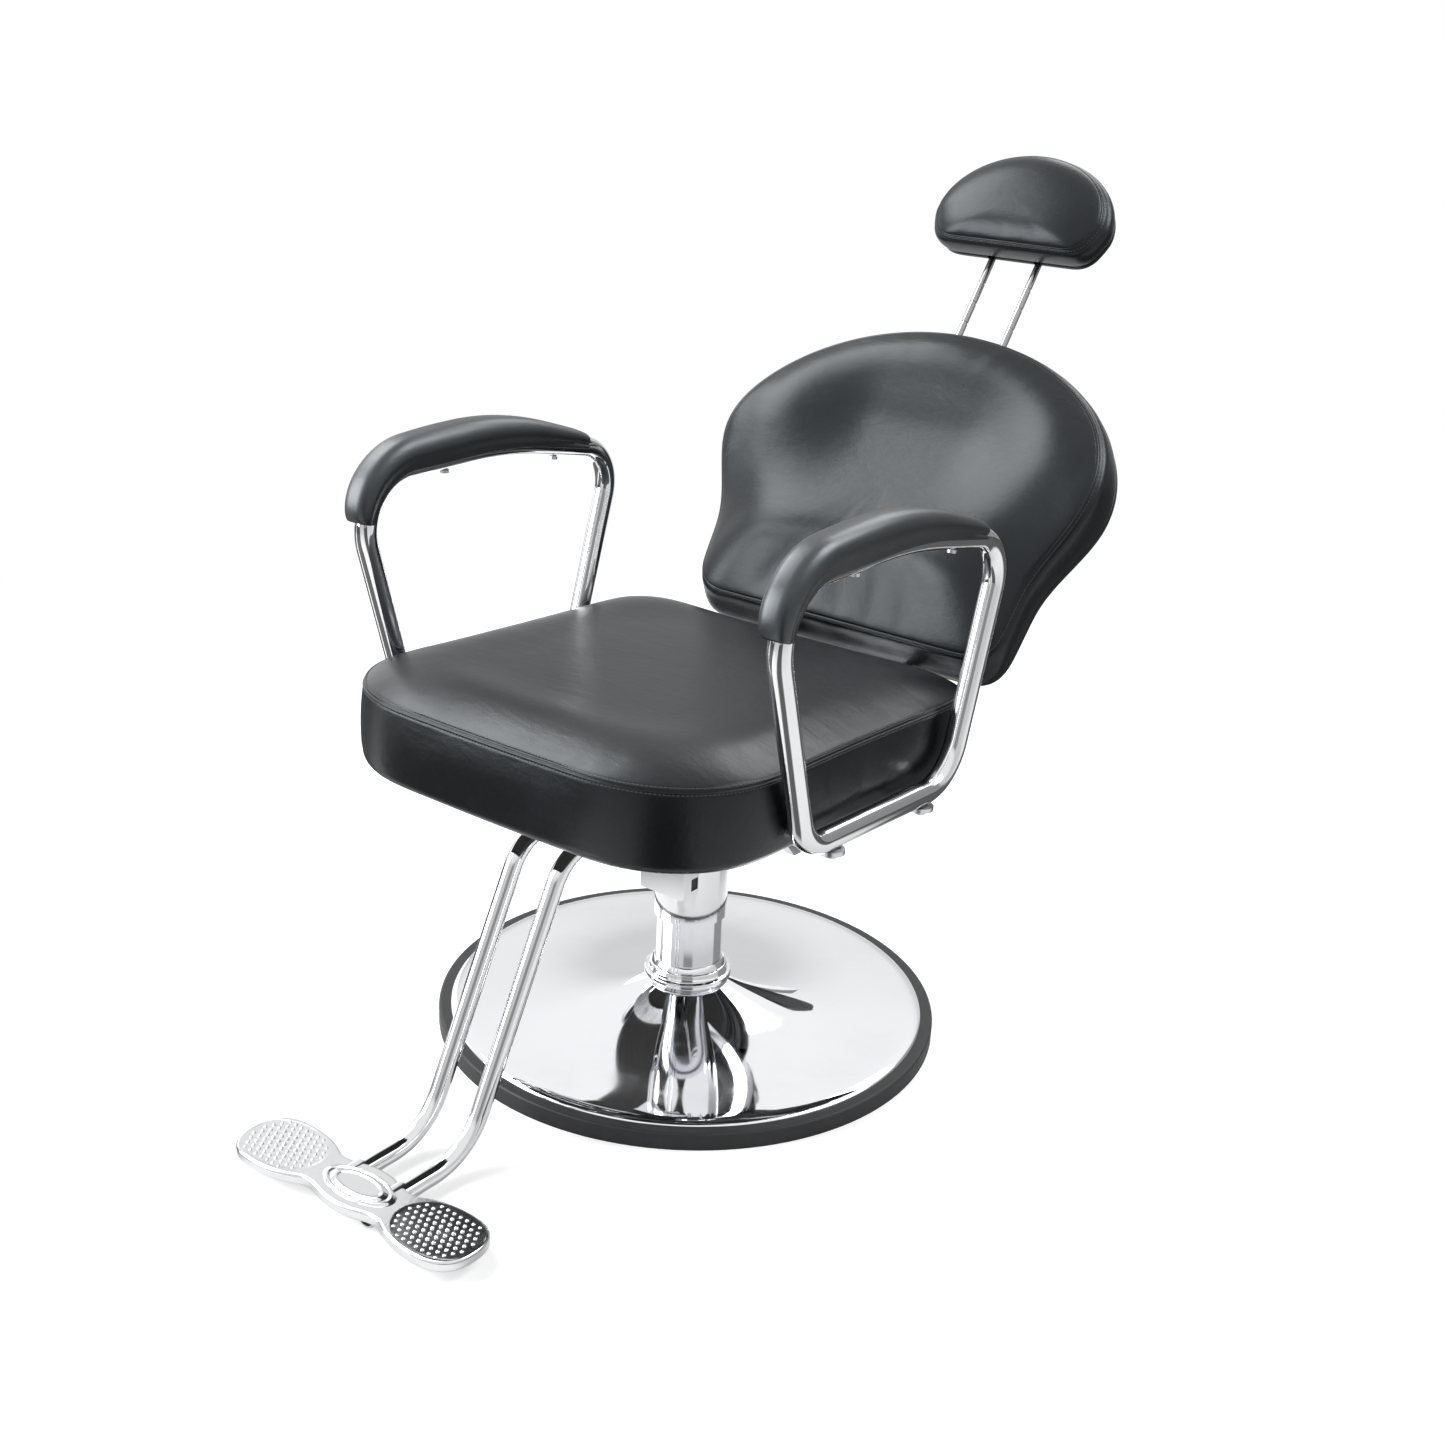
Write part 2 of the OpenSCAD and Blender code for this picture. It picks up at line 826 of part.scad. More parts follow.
// Ribbed rubber pad on the end of the arm.
module pedal_pad() {
  color("black")
    translate([0, pedal_reach - 20, pedal_z - pad_t]) {
      linear_extrude(pad_t)
        union() {
          square([pedal_pad_w - 24, 48], center = true);
          square([pedal_pad_w, 24], center = true);
          for (x = [-1, 1], y = [-1, 1]) {
            translate([x * (pedal_pad_w / 2 - 12), y * 12])
              circle(r = 12);
          }
        }
      for (y = [-16 : 8 : 16]) {
        translate([-(pedal_pad_w - 26) / 2, y - 1.5, pad_t])
          cube([pedal_pad_w - 26, 3, 1.5]);
      }
    }
}

plunger_low_z = cylinder_top - spigot_h - 2;
plunger_cap_t = 3;

module pump_plunger() {
  color("silver") {
    translate([0, 0, plunger_low_z])
      cylinder(h = plunger_top_z - plunger_low_z, r = plunger_r);
    translate([0, 0, plunger_top_z - plunger_cap_t])
      cylinder(h = plunger_cap_t, r = 7.5);
  }
}

// ================= seat frame =================

module mounting_plate() {
  color("darkgray")
    difference() {
      in_seat_frame()
        translate([-rail_x - rail_w / 2, -plate_half, plate_low_w])
          cube([2 * rail_x + rail_w, 2 * plate_half, plate_t]);
      pump_bolt_holes(bolt_r + bolt_gap);
      seat_bolt_shanks(bolt_r + bolt_gap);
    }
}

module pump_bolts() {
  color("silver")
    in_seat_frame()
      for (x = [-1, 1], y = [-1, 1]) {
        translate([x * pump_bolt_p, y * pump_bolt_p, plate_low_w - 12])
          cylinder(h = plate_t + 12, r = bolt_r - run_gap);
        translate([x * pump_bolt_p, y * pump_bolt_p, plate_top_w])
          cylinder(h = bolt_head_h, r = bolt_head_r, $fn = 6);
      }
}

module seat_rails() {
  rail_wall = 2;
  color("dimgray")
    difference() {
      in_seat_frame()
        both_sides(rail_x)
          difference() {
            translate([-rail_w / 2, -rail_front, plate_top_w])
              cube([rail_w, rail_front + rail_rear, rail_h]);
            translate([-rail_w / 2 + rail_wall, -rail_front - 1, plate_top_w + rail_wall])
              cube([rail_w - 2 * rail_wall, rail_front + rail_rear + 2, rail_h - 2 * rail_wall]);
          }
      seat_bolt_shanks(bolt_r + bolt_gap);
    }
}

// Two flat bars across the rails: their ends carry the arms.
module cross_bars() {
  color("silver")
    difference() {
      in_seat_frame()
        for (v = [-front_bar, rear_bar]) {
          translate([0, v, -bar_t])
            linear_extrude(bar_t)
              union() {
                square([2 * bar_end_x - bar_w, bar_w], center = true);
                for (s = [-1, 1]) {
                  translate([s * (bar_end_x - bar_w / 2), 0])
                    circle(r = bar_w / 2);
                }
              }
        }
      seat_bolt_shanks(bolt_r + bolt_gap);
      arm_bolt_shanks(bolt_r + bolt_gap);
    }
}

// Under the rails, the heads of the bolts that also hold the mounting plate sit lower.
function rail_bolt_w(v) = abs(v) < plate_half + bolt_head_r ? plate_low_w : plate_top_w;

module seat_bolt_shanks(r) {
  bite = 7;
  in_seat_frame()
    for (v = [-front_bar, rear_bar], s = [-1, 1]) {
      translate([s * rail_bolt_x, v, rail_bolt_w(v)])
        cylinder(h = bite - rail_bolt_w(v), r = r);
      translate([s * side_bolt_x, v, -bar_t])
        cylinder(h = bar_t + bite, r = r);
    }
}

module seat_bolts() {
  color("silver") {
    seat_bolt_shanks(bolt_r);
    in_seat_frame()
      for (v = [-front_bar, rear_bar], s = [-1, 1]) {
        translate([s * rail_bolt_x, v, rail_bolt_w(v) - bolt_head_h])
          cylinder(h = bolt_head_h, r = bolt_head_r, $fn = 6);
        translate([s * side_bolt_x, v, -bar_t - bolt_head_h])
          cylinder(h = bolt_head_h, r = bolt_head_r, $fn = 6);
      }
  }
}

function arc_points(o, r, from, to, n) =
  [for (i = [0 : n]) let (a = from + (to - from) * i / n) [o[0] + r * cos(a), o[1] + r * sin(a)]];

// Plan outline of the seat, drawn in by an inset, counter-clockwise.
function seat_outline(inset) =
  let (
    hw = seat_w / 2 - inset,
    f = seat_front - inset,
    b = seat_rear - inset,
    rf = max(6, seat_front_r - inset),
    rb = max(6, seat_rear_r - inset),
    draw = 4
  )
  concat(
    arc_points([-hw + rf, -f + rf], rf, 180, 270, 7),
    [[0, -f]],
    arc_points([hw - rf, -f + rf], rf, 270, 360, 7),
    [[hw - draw, (b - f) / 2 + 20]],
    arc_points([hw - rb - 3, b - rb], rb, 0, 90, 5),
    [[0, b]],
    arc_points([-hw + rb + 3, b - rb], rb, 90, 180, 5),
    [[-hw + draw, (b - f) / 2 + 20]]
  );

function raise(pts, w) = [for (p = pts) [p[0], p[1], w]];
function shrink(pts, rho, c) = [for (p = pts) c + (p - c) * rho];

module seat_board() {
  color("saddlebrown")
    difference() {
      in_seat_frame()
        linear_extrude(seat_board_t)
          polygon(seat_outline(seat_board_inset));
      seat_bolt_shanks(bolt_r + bolt_gap);
    }
}

// Boxed cushion: drawn-in foot, straight boxing, seam and a pillowed crown.
module seat_cushion() {
  seam_w = seat_cushion_w + seat_boxing;
  c = [0, (seat_rear - seat_front) / 2];
  seam = seat_outline(0);
  rho = [0.985, 0.95, 0.88, 0.76, 0.58, 0.32];
  color([0.13, 0.13, 0.14])
    in_seat_frame()
      loft(concat(
        [raise(seat_outline(18), seat_cushion_w)],
        [raise(seat_outline(9), seat_cushion_w + 3)],
        [raise(seat_outline(2), seat_cushion_w + 13)],
        [raise(seat_outline(-1), seat_cushion_w + seat_boxing / 2)],
        [raise(seat_outline(0.5), seam_w - 4)],
        [raise(seam, seam_w)],
        [for (k = rho) raise(shrink(seam, k, c), seam_w + seat_crown * (1 - pow(k, 6)))]
      ));
}

// ================= arms =================

module arm_bolt_shanks(r) {
  in_seat_frame()
    for (v = [-front_bar, rear_bar], s = [-1, 1]) {
      translate([s * arm_bolt_x, v, -bar_t])
        cylinder(h = bar_t + 8, r = r);
    }
}

module arm_bolts() {
  color("silver") {
    arm_bolt_shanks(bolt_r);
    in_seat_frame()
      for (v = [-front_bar, rear_bar], s = [-1, 1]) {
        translate([s * arm_bolt_x, v, -bar_t - bolt_head_h])
          cylinder(h = bolt_head_h, r = bolt_head_r, $fn = 6);
      }
  }
}

// Closed tube loop, drilled for its bolts and for the pad's screws.
module arm_frame(side) {
  color("gainsboro")
    difference() {
      in_seat_frame()
        in_side_plane(side * arm_x)
          difference() {
            bent_bar(arm_path, arm_bends, arm_r, closed = true);
            bent_bar(arm_path, arm_bends, arm_bore_r, closed = true);
          }
      arm_bolt_shanks(bolt_r + bolt_gap);
      in_seat_frame()
        arm_pad_screw_shanks(pad_screw_r + bolt_gap);
    }
}

module arm_frame_left() {
  arm_frame(1);
}

module arm_frame_right() {
  arm_frame(-1);
}

// Height of the arm's centre line above the seat frame at a place v along its top.
function arm_top_at(v) =
  let (
    o = bend_centre(arm_path[0], arm_path[1], arm_path[2], arm_bends[1]),
    lo = bend_start(arm_path, arm_bends, 1),
    hi = bend_end(arm_path, arm_bends, 1)
  )
  v < lo[0] ? lo[1] + (v - lo[0]) * (arm_path[1] - arm_path[0])[1] / (arm_path[1] - arm_path[0])[0]
  : v > hi[0] ? hi[1] + (v - hi[0]) * (arm_path[2] - arm_path[1])[1] / (arm_path[2] - arm_path[1])[0]
  : o[1] + sqrt(arm_bends[1] * arm_bends[1] - (v - o[0]) * (v - o[0]));
function arm_slope_at(v) = atan2(arm_top_at(v + 1) - arm_top_at(v - 1), 2);

// Stands things on the arm's centre line at each screw, square to the tube.
module at_pad_screws() {
  for (v = pad_screw_v, s = [-1, 1]) {
    translate([s * arm_x, v, arm_top_at(v)])
      rotate([arm_slope_at(v), 0, 0])
        children();
  }
}

module arm_pad_screw_shanks(r) {
  at_pad_screws()
    translate([0, 0, -arm_r - 1])
      cylinder(h = arm_d + pad_screw_bite, r = r);
}

module arm_pad_screws() {
  color("silver")
    in_seat_frame() {
      arm_pad_screw_shanks(pad_screw_r);
      at_pad_screws()
        translate([0, 0, -arm_r - soft_gap - pad_screw_head_h])
          cylinder(h = pad_screw_head_h, r = pad_screw_head_r);
    }
}

// Places along the pad with the tube's outward normal: [v, w, nv, nw].
function pad_stations() =
  let (
    o_front = bend_centre(arm_path[4], arm_path[0], arm_path[1], arm_bends[0]),
    o_crest = bend_centre(arm_path[0], arm_path[1], arm_path[2], arm_bends[1]),
    a_end = angle_of(bend_end(arm_path, arm_bends, 0) - o_front),
    c_from = angle_of(bend_start(arm_path, arm_bends, 1) - o_crest),
    c_to = angle_of(bend_end(arm_path, arm_bends, 1) - o_crest),
    tail_dir = unit(arm_path[2] - arm_path[1]),
    tail_from = bend_end(arm_path, arm_bends, 1),
    front = arc_points(o_front, arm_bends[0], a_end + pad_nose_turn, a_end, 9),
    crest = arc_points(o_crest, arm_bends[1], c_from, c_to, 4)
  )
  concat(
    [for (p = front) let (n = unit(p - o_front)) [p[0], p[1], n[0], n[1]]],
    [for (p = crest) let (n = unit(p - o_crest)) [p[0], p[1], n[0], n[1]]],
    [for (d = [0.35, 0.6, 0.8, 0.92, 1]) let (p = tail_from + tail_dir * pad_tail * d * 1.45)
      [p[0], p[1], -tail_dir[1], tail_dir[0]]]
  );

// Half width and height of the pad's section at a fraction of its length.
function nose_round(f) = f < 0.1 ? sqrt(max(0, 1 - pow(1 - f / 0.1, 2))) : 1;
function tail_round(f) = f > 0.93 ? sqrt(max(0, 1 - pow((f - 0.93) / 0.07, 2))) : 1;
pad_lip_r = pad_groove_r + 2.5;
// Share of the half width by which the lower edges tuck in to the tube
pad_tuck = 0.3;
pad_edge_min = pad_groove_r + 1.5;
function pad_side(a, t) =
  let (
    tuck = 1 - pad_tuck * exp(-pow(sin(t) / 0.3, 2)),
    x = 1.06 * a * tuck * pow(abs(cos(t)), 0.6)
  )
  sign(cos(t)) * (sin(t) < 0.1 ? max(x, pad_edge_min) : x);
function pad_width(f) =
  let (full = pad_half_w * (0.86 + 0.14 * sin(180 * min(1, f * 1.1))) * (1 - 0.22 * pow(f, 4)))
  pad_lip_r + (full - pad_lip_r) * min(nose_round(f), 0.3 + 0.7 * tail_round(f));
function pad_height(f) =
  let (
    rise = 0.72 + 0.28 * sin(clip(f / 0.42) * 90),
    fall = f > 0.45 ? 1 - 0.52 * pow((f - 0.45) / 0.55, 1.5) : 1
  )
  pad_lip_r + (pad_h * rise * fall - pad_lip_r)
    * min(0.25 + 0.75 * nose_round(f), 0.2 + 0.8 * tail_round(f));

function pad_section(s, a, b) =
  let (
    outer = [for (t = [0 : 15 : 180]) [pad_side(a, t), b * pow(sin(t), 0.8)]],
    inner = [for (t = [180 : -22.5 : 0]) [pad_groove_r * cos(t), pad_groove_r * sin(t)]]
  )
  [for (q = concat(outer, inner)) [q[0], s[0] + s[2] * q[1], s[1] + s[3] * q[1]]];

// A tube-hugging pad: a horseshoe section swept along the front bend and the top run.
module arm_pad(side) {
  st = pad_stations();
  n = len(st);
  steps = [for (i = [0 : n - 2]) norm([st[i + 1][0] - st[i][0], st[i + 1][1] - st[i][1]])];
  along = [for (i = 0, d = 0; i < n; d = d + (i < n - 1 ? steps[i] : 0), i = i + 1) d];
  total = along[n - 1];
  rings = [for (i = [0 : n - 1])
    pad_section(st[i], pad_width(along[i] / total), pad_height(along[i] / total))];
  m = len(rings[0]);
  outer_n = 13;
  caps = [for (i = [0 : outer_n - 2])
    let (j = m - 1 - round(i * 8 / 12), k = m - 1 - round((i + 1) * 8 / 12))
    each (j == k ? [[i, i + 1, j]] : [[i, i + 1, j], [i + 1, k, j]])];
  sides = [for (k = [0 : n - 2], i = [0 : m - 1]) each [
    [k * m + i, k * m + (i + 1) % m, (k + 1) * m + (i + 1) % m],
    [k * m + i, (k + 1) * m + (i + 1) % m, (k + 1) * m + i]
  ]];
  far = (n - 1) * m;
  color([0.13, 0.13, 0.14])
    in_seat_frame()
      translate([side * arm_x, 0, 0])
        polyhedron(
          [for (r = rings) each r],
          concat(
            sides,
            [for (c = caps) [c[2], c[1], c[0]]],
            [for (c = caps) c + [far, far, far]]
          )
        );
}

module arm_pad_left() {
  arm_pad(1);
}

module arm_pad_right() {
  arm_pad(-1);
}

// ================= footrest =================

// Welded holder under the front cross bar: two tube sockets hung from an upright.
module footrest_bracket() {
  web_t = 6;
  color("dimgray")
    difference() {
      union() {
        both_sides(foot_tube_x)
          translate([0, socket_rear_y, foot_top_z])
            rotate([90, 0, 0])
              cylinder(h = socket_rear_y - socket_front_y, r = socket_half);
        translate([-foot_tube_x, socket_front_y, foot_top_z - web_t / 2])
          cube([2 * foot_tube_x, socket_rear_y - socket_front_y, web_t]);
        difference() {
          both_sides(foot_tube_x)
            translate([-web_t / 2, socket_front_y, foot_top_z + socket_half - 3])
              cube([web_t, socket_rear_y - socket_front_y, 60]);
          in_seat_frame()
            translate([-150, -400, plate_top_w])
              cube([300, 600, 100]);
        }
        in_seat_frame()
          translate([-rail_x + rail_w / 2, -front_bar - 30, plate_top_w - 1])
            cube([2 * rail_x - rail_w, 45, 6]);
      }
      both_sides(foot_tube_x)
        translate([0, foot_head_y + 2, foot_top_z])
          rotate([90, 0, 0])
            cylinder(h = 200, r = foot_hole_r);
    }
}

module footrest_tube(side) {
  color("gainsboro")
    in_side_plane(side * foot_tube_x)
      difference() {
        bent_bar(foot_path, foot_bends, foot_tube_r);
        bent_bar(foot_path, foot_bends, foot_bore_r);
      }
}

module footrest_tube_left() {
  footrest_tube(1);
}

module footrest_tube_right() {
  footrest_tube(-1);
}

// Each lobe is a fan: it rounds off towards its tip and tapers towards the waist.
lobe_tip_a = 42;
lobe_root_a = 70;
lobe_b = 41;
lobe_power = 2.4;
lobe_c = plate_len / 2 - lobe_tip_a;
middle_a = 50;
middle_b = 33;
waist_b = 26;
edge_power = 6;
edge_steps = 60;
oval_a = 44;
oval_b = 21;
oval_rise = 2;

function swell(x, c, a, b, k) = b * pow(max(0, 1 - pow(abs(x - c) / a, k)), 1 / k);
function plate_half_depth(x, inset) =
  let (
    lobe_a = (abs(x) > lobe_c ? lobe_tip_a : lobe_root_a) - inset,
    lobe = swell(abs(x), lobe_c, lobe_a, lobe_b - inset, lobe_power),
    middle = swell(x, 0, middle_a - inset, middle_b - inset, 2),
    waist = abs(x) < lobe_c ? waist_b - inset : 0
  )
  pow(pow(lobe, edge_power) + pow(middle, edge_power) + pow(waist, edge_power), 1 / edge_power);
function plate_edge(inset) =
  let (
    tip = lobe_c + lobe_tip_a - inset,
    xs = [for (i = [0 : edge_steps]) -tip * cos(180 * i / edge_steps)]
  )
  concat(
    [for (i = [0 : edge_steps]) [xs[i], -plate_half_depth(xs[i], inset)]],
    [for (i = [edge_steps - 1 : -1 : 1]) [xs[i], plate_half_depth(xs[i], inset)]]
  );

// Cast plate with two rounded lobes, and a boss under its middle for the tubes.
module footplate() {
  boss_y0 = -plate_y - 20;
  boss_y1 = -plate_y + 32;
  color("silver")
    difference() {
      union() {
        for (s = [[0, 2, 2.5], [2, lobe_t - 5, 0], [lobe_t - 3, 2, 1], [lobe_t - 1, 1, 2.6]]) {
          translate([0, -plate_y, lobe_z + s[0]])
            linear_extrude(s[1])
              polygon(plate_edge(s[2]));
        }
        for (x = [-foot_tube_x, foot_tube_x]) {
          translate([x, boss_y1, foot_low_z])
            rotate([90, 0, 0])
              cylinder(h = boss_y1 - boss_y0, r = socket_half);
        }
        translate([0, -plate_y, plate_top_z - 1])
          linear_extrude(oval_rise + 1)
            polygon([for (a = [0 : 7.5 : 359]) [oval_a * cos(a), oval_b * sin(a)]]);
      }
      for (x = [-foot_tube_x, foot_tube_x]) {
        translate([x, boss_y1 + 1, foot_low_z])
          rotate([90, 0, 0])
            cylinder(h = boss_y1 + 1 - foot_tail_y + 0.5, r = foot_hole_r);
      }
      // the boss stays clear of the floor
      translate([-200, -plate_y - 60, foot_low_z - socket_half - 1])
        cube([400, 120, 2]);
    }
}

// ================= hinge, strut and lever on the seat =================

cheek_t = 6;
cheek_x = bracket_x + bracket_t / 2 + soft_gap;
pin_in_x = bracket_x - 14;

// A cheek on each rail's end, outside the back's bracket.
module hinge_brackets() {
  end_plate_t = 4;
  color("dimgray")
    difference() {
      union() {
        for (s = [-1, 1]) {
          translate([s > 0 ? cheek_x : -cheek_x - cheek_t, 0, 0])
            in_side_plane()
              linear_extrude(cheek_t)
                union() {
                  translate([hinge_y, hinge_z])
                    circle(r = eye_r);
                  polygon([
                    [hinge_y - eye_r, hinge_z],
                    [hinge_y, hinge_z - eye_r],
                    [rail_rear + 1, frame_z - 34],
                    [rail_rear + 1, frame_z - 14]
                  ]);
                }
        }
        in_seat_frame()
          both_sides(bracket_x)
            translate([-rail_w / 2, rail_rear, plate_top_w])
              cube([rail_w, end_plate_t, rail_h]);
      }
      translate([0, hinge_y, hinge_z])
        cross_rod(pin_r, 2 * cheek_x + 60);
    }
}

module hinge_pins() {
  head_x = cheek_x + cheek_t;
  color("silver")
    for (s = [-1, 1]) {
      translate([s * (pin_in_x + head_x) / 2, hinge_y, hinge_z])
        cross_rod(pin_r - run_gap, head_x - pin_in_x);
      translate([s * (head_x + 1.5), hinge_y, hinge_z])
        cross_rod(8, 3);
    }
}

// Anchor block under the right-hand rail that takes the strut's rod.
module strut_anchor() {
  anchor_w = 24;
  anchor_l = 26;
  color("dimgray")
    difference() {
      translate([-strut_x - anchor_w / 2, -strut_front - anchor_w / 2, strut_z - 10])
        cube([anchor_w, anchor_l, 60]);
      in_seat_frame()
        translate([-200, -200, plate_low_w])
          cube([400, 400, 120]);
      in_strut_frame()
        translate([0, 0, -40])
          cylinder(h = 80, r = strut_rod_r);
    }
}

module strut_rod() {
  color("gainsboro")
    in_strut_frame()
      translate([0, 0, -14])
        cylinder(h = strut_len - strut_cyl_len + 100, r = strut_rod_r);
}

strut_cyl_from = strut_len - strut_cyl_len - 12;
clevis_w = 2 * strut_r;
clevis_l = 28;
clevis_depth = 14;

module strut_pin() {
  color("silver")
    translate([-strut_x, tab_y, tab_z]) {
      cross_rod(tab_pin_r, clevis_w);
      both_sides(clevis_w / 2 + 1)
        cross_rod(tab_pin_r + 2, 2);
    }
}

// Lock cylinder with a forked end that straddles the back's tab.
module strut_cylinder() {
  color("dimgray")
    difference() {
      union() {
        in_strut_frame()
          translate([0, 0, strut_cyl_from])
            cylinder(h = strut_cyl_len, r = strut_r);
        in_strut_frame()
          translate([-clevis_w / 2, -clevis_depth / 2, strut_len - clevis_l + 8])
            cube([clevis_w, clevis_depth, clevis_l]);
      }
      in_strut_frame()
        translate([0, 0, strut_cyl_from - 1])
          cylinder(h = strut_cyl_len - 20, r = strut_rod_r + run_gap);
      in_strut_frame()
        translate([-tab_t / 2 - 0.6, -30, strut_len - 14])
          cube([tab_t + 1.2, 60, 60]);
      translate([-strut_x, tab_y, tab_z])
        cross_rod(tab_pin_r, 60);
    }
}

module lever_brackets() {
  color("dimgray")
    difference() {
      for (x = [-rail_x - 4, -side_bolt_x - 22]) {
        translate([x, lever_y - 12, lever_z - 11])
          cube([6, 24, 80]);
      }
      translate([-strut_x, lever_y, lever_z])
        cross_rod(lever_r + run_gap, 400);
      in_seat_frame()
        translate([-rail_x - rail_w, -300, plate_top_w])
          cube([2 * rail_w, 600, 120]);
      in_seat_frame()
        translate([-400, -300, 0])
          cube([400, 600, 120]);
    }
}

// Rod across the chair with a release cam inside and a handle outside.
module recline_lever() {
  color("silver") {
    translate([-(lever_reach + strut_x - 10) / 2, lever_y, lever_z])
      cross_rod(lever_r, lever_reach - strut_x + 10);
    translate([-strut_x - 4, lever_y - 3.5, lever_z - 20])
      cube([8, 7, 20]);
    translate([-lever_reach, lever_y, lever_z])
      rotate([90, 0, 0])
        cylinder(h = lever_arm, r = lever_r);
  }
}

module lever_grip() {
  grip_l = 46;
  color("black")
    translate([-lever_reach, lever_y - lever_arm + 12, lever_z])
      rotate([90, 0, 0])
        difference() {
          rotate_extrude()
            polygon([
              [0, 0], [8, 0], [10, 6], [11, grip_l / 2],
              [9, grip_l - 4], [5, grip_l], [0, grip_l]
            ]);
          translate([0, 0, -1])
            cylinder(h = 13 + 0.2, r = lever_r + run_gap);
        }
}

// ================= back =================

// Outline of the back above its lower seam, counter-clockwise from the lower left.
corner_s = 34;
back_centre = [0, back_centre_s];
back_droop = 12;
droop_reach = 55;
cover_edge = -3;
function smooth(t) = let (u = max(0, min(1, t))) u * u * (3 - 2 * u);
function back_half(s) =
  let (
    waist = back_waist_w / 2,
    wide = back_w / 2
  )
  s < 85 ? waist - 5 * (85 - s) / 85
  : s < shoulder_s ? waist + (wide - waist) * smooth((s - 85) / (shoulder_s - 85))
  : wide * sqrt(max(0, 1 - pow((s - shoulder_s) / (back_h - shoulder_s), 2)));
function back_side() =
  let (low = back_half(corner_s))
  concat(
    arc_points([low - corner_s, corner_s], corner_s, 270, 350, 4),
    [for (s = [60 : 28 : 200]) [back_half(s), s]],
    [for (a = [0 : 10 : 80]) [back_w / 2 * cos(a), shoulder_s + (back_h - shoulder_s) * sin(a)]]
  );
function reversed(pts) = [for (i = [len(pts) - 1 : -1 : 0]) pts[i]];
function mirrored(pts) = reversed([for (p = pts) [-p[0], p[1]]]);
function back_outline() = concat(back_side(), [[0, back_h]], mirrored(back_side()), [[0, 0]]);
function grow(pts, e, c) = [for (p = pts) c + (p - c) * (1 + e / 230)];

// The wrapped lower edge hangs below the front seam by back_droop.
function drooped(pts, part) =
  [for (p = pts) [p[0], p[1] - part * back_droop * exp(-pow(p[1] / droop_reach, 2))]];

// Forward reach of the wings, and the crown with its lumbar swell and its hollow above.
function wing_at(x, s) = wing * pow(x / (back_w / 2), 2) * exp(-pow((s - shoulder_s) / 105, 2));
function back_crown(x, s, rho) =
  (1 - pow(rho, 5)) * (
    17
    + 15 * exp(-pow((s - 95) / 62, 2))
    - 20 * exp(-pow((s - 275) / 85, 2)) * (1 - pow(x / (back_w / 2), 2))
  );
function back_ring(e, y) =
  let (pts = drooped(grow(back_outline(), e, back_centre), (y - seam_y) / back_foam))
  [for (p = pts) [p[0], y - wing_at(p[0], p[1]), back_seam_s + p[1]]];
function back_rear_ring(e, y) =
  let (pts = drooped(grow(back_outline(), e, back_centre), 1))
  [for (p = pts) [p[0], y, back_seam_s + p[1]]];
function back_face(rho) =
  [for (p = shrink(back_outline(), rho, back_centre))
    [p[0], seam_y - wing_at(p[0], p[1]) - back_crown(p[0], p[1], rho), back_seam_s + p[1]]];

module back_cushion() {
  color([0.13, 0.13, 0.14])
    in_back_frame()
      loft(concat(
        [back_rear_ring(-10, foam_rear)],
        [back_rear_ring(1, foam_rear - 1)],
        [back_ring(6, seam_y + back_foam * 0.6)],
        [back_ring(5, seam_y + back_foam * 0.25)],
        [back_ring(0, seam_y)],
        [for (k = [0.975, 0.92, 0.82, 0.66, 0.46, 0.22]) back_face(k)]
      ));
}

module back_plate(e, y, t) {
  translate([0, y + t, 0])
    rotate([90, 0, 0])
      linear_extrude(t)
        translate([0, back_seam_s])
          polygon(drooped(grow(back_outline(), e, back_centre), 1));
}

module back_board() {
  color("saddlebrown")
    in_back_frame()
      difference() {
        back_plate(-6, board_y, back_board_t);
        back_screw_shanks(2.5 + bolt_gap);
      }
}

// Upholstered rear shell that hides the posts' guides.
module back_cover() {
  pocket_x = 160;
  color([0.16, 0.16, 0.17])
    in_back_frame()
      difference() {
        back_plate(cover_edge, board_rear, cover_t);
        translate([-pocket_x, board_rear - 1, back_seam_s + 20])
          cube([2 * pocket_x, cover_t - cover_wall + 1, back_h - 50]);
        both_sides(bracket_x + 6)
          translate([-20, board_rear - 1, 0])
            cube([40, 14, back_seam_s + 40]);
        both_sides(post_x) {
          translate([0, post_y, back_top_s - 100])
            cylinder(h = 140, r = guide_r + 0.2);
          translate([-guide_r - 0.2, board_rear - 1, back_top_s - 100])
            cube([2 * guide_r + 0.4, post_y - board_rear + 1, 140]);
        }
      }
}

first_screw = 30;
screw_pitch = 32;
screw_rows = [for (k = [0 : 2]) back_seam_s + first_screw + k * screw_pitch];

module back_screw_shanks(r) {
  for (s = [-1, 1], z = screw_rows) {
    translate([s * (bracket_x + 12), board_rear + 6, z])
      rotate([90, 0, 0])
        cylinder(h = 6 + back_board_t - 2, r = r);
  }
}

module back_screws() {
  color("silver")
    in_back_frame() {
      back_screw_shanks(2.5);
      for (s = [-1, 1], z = screw_rows) {
        translate([s * (bracket_x + 12), board_rear + 8.5, z])
          rotate([90, 0, 0])
            cylinder(h = 3.5, r = 5);
      }
    }
}

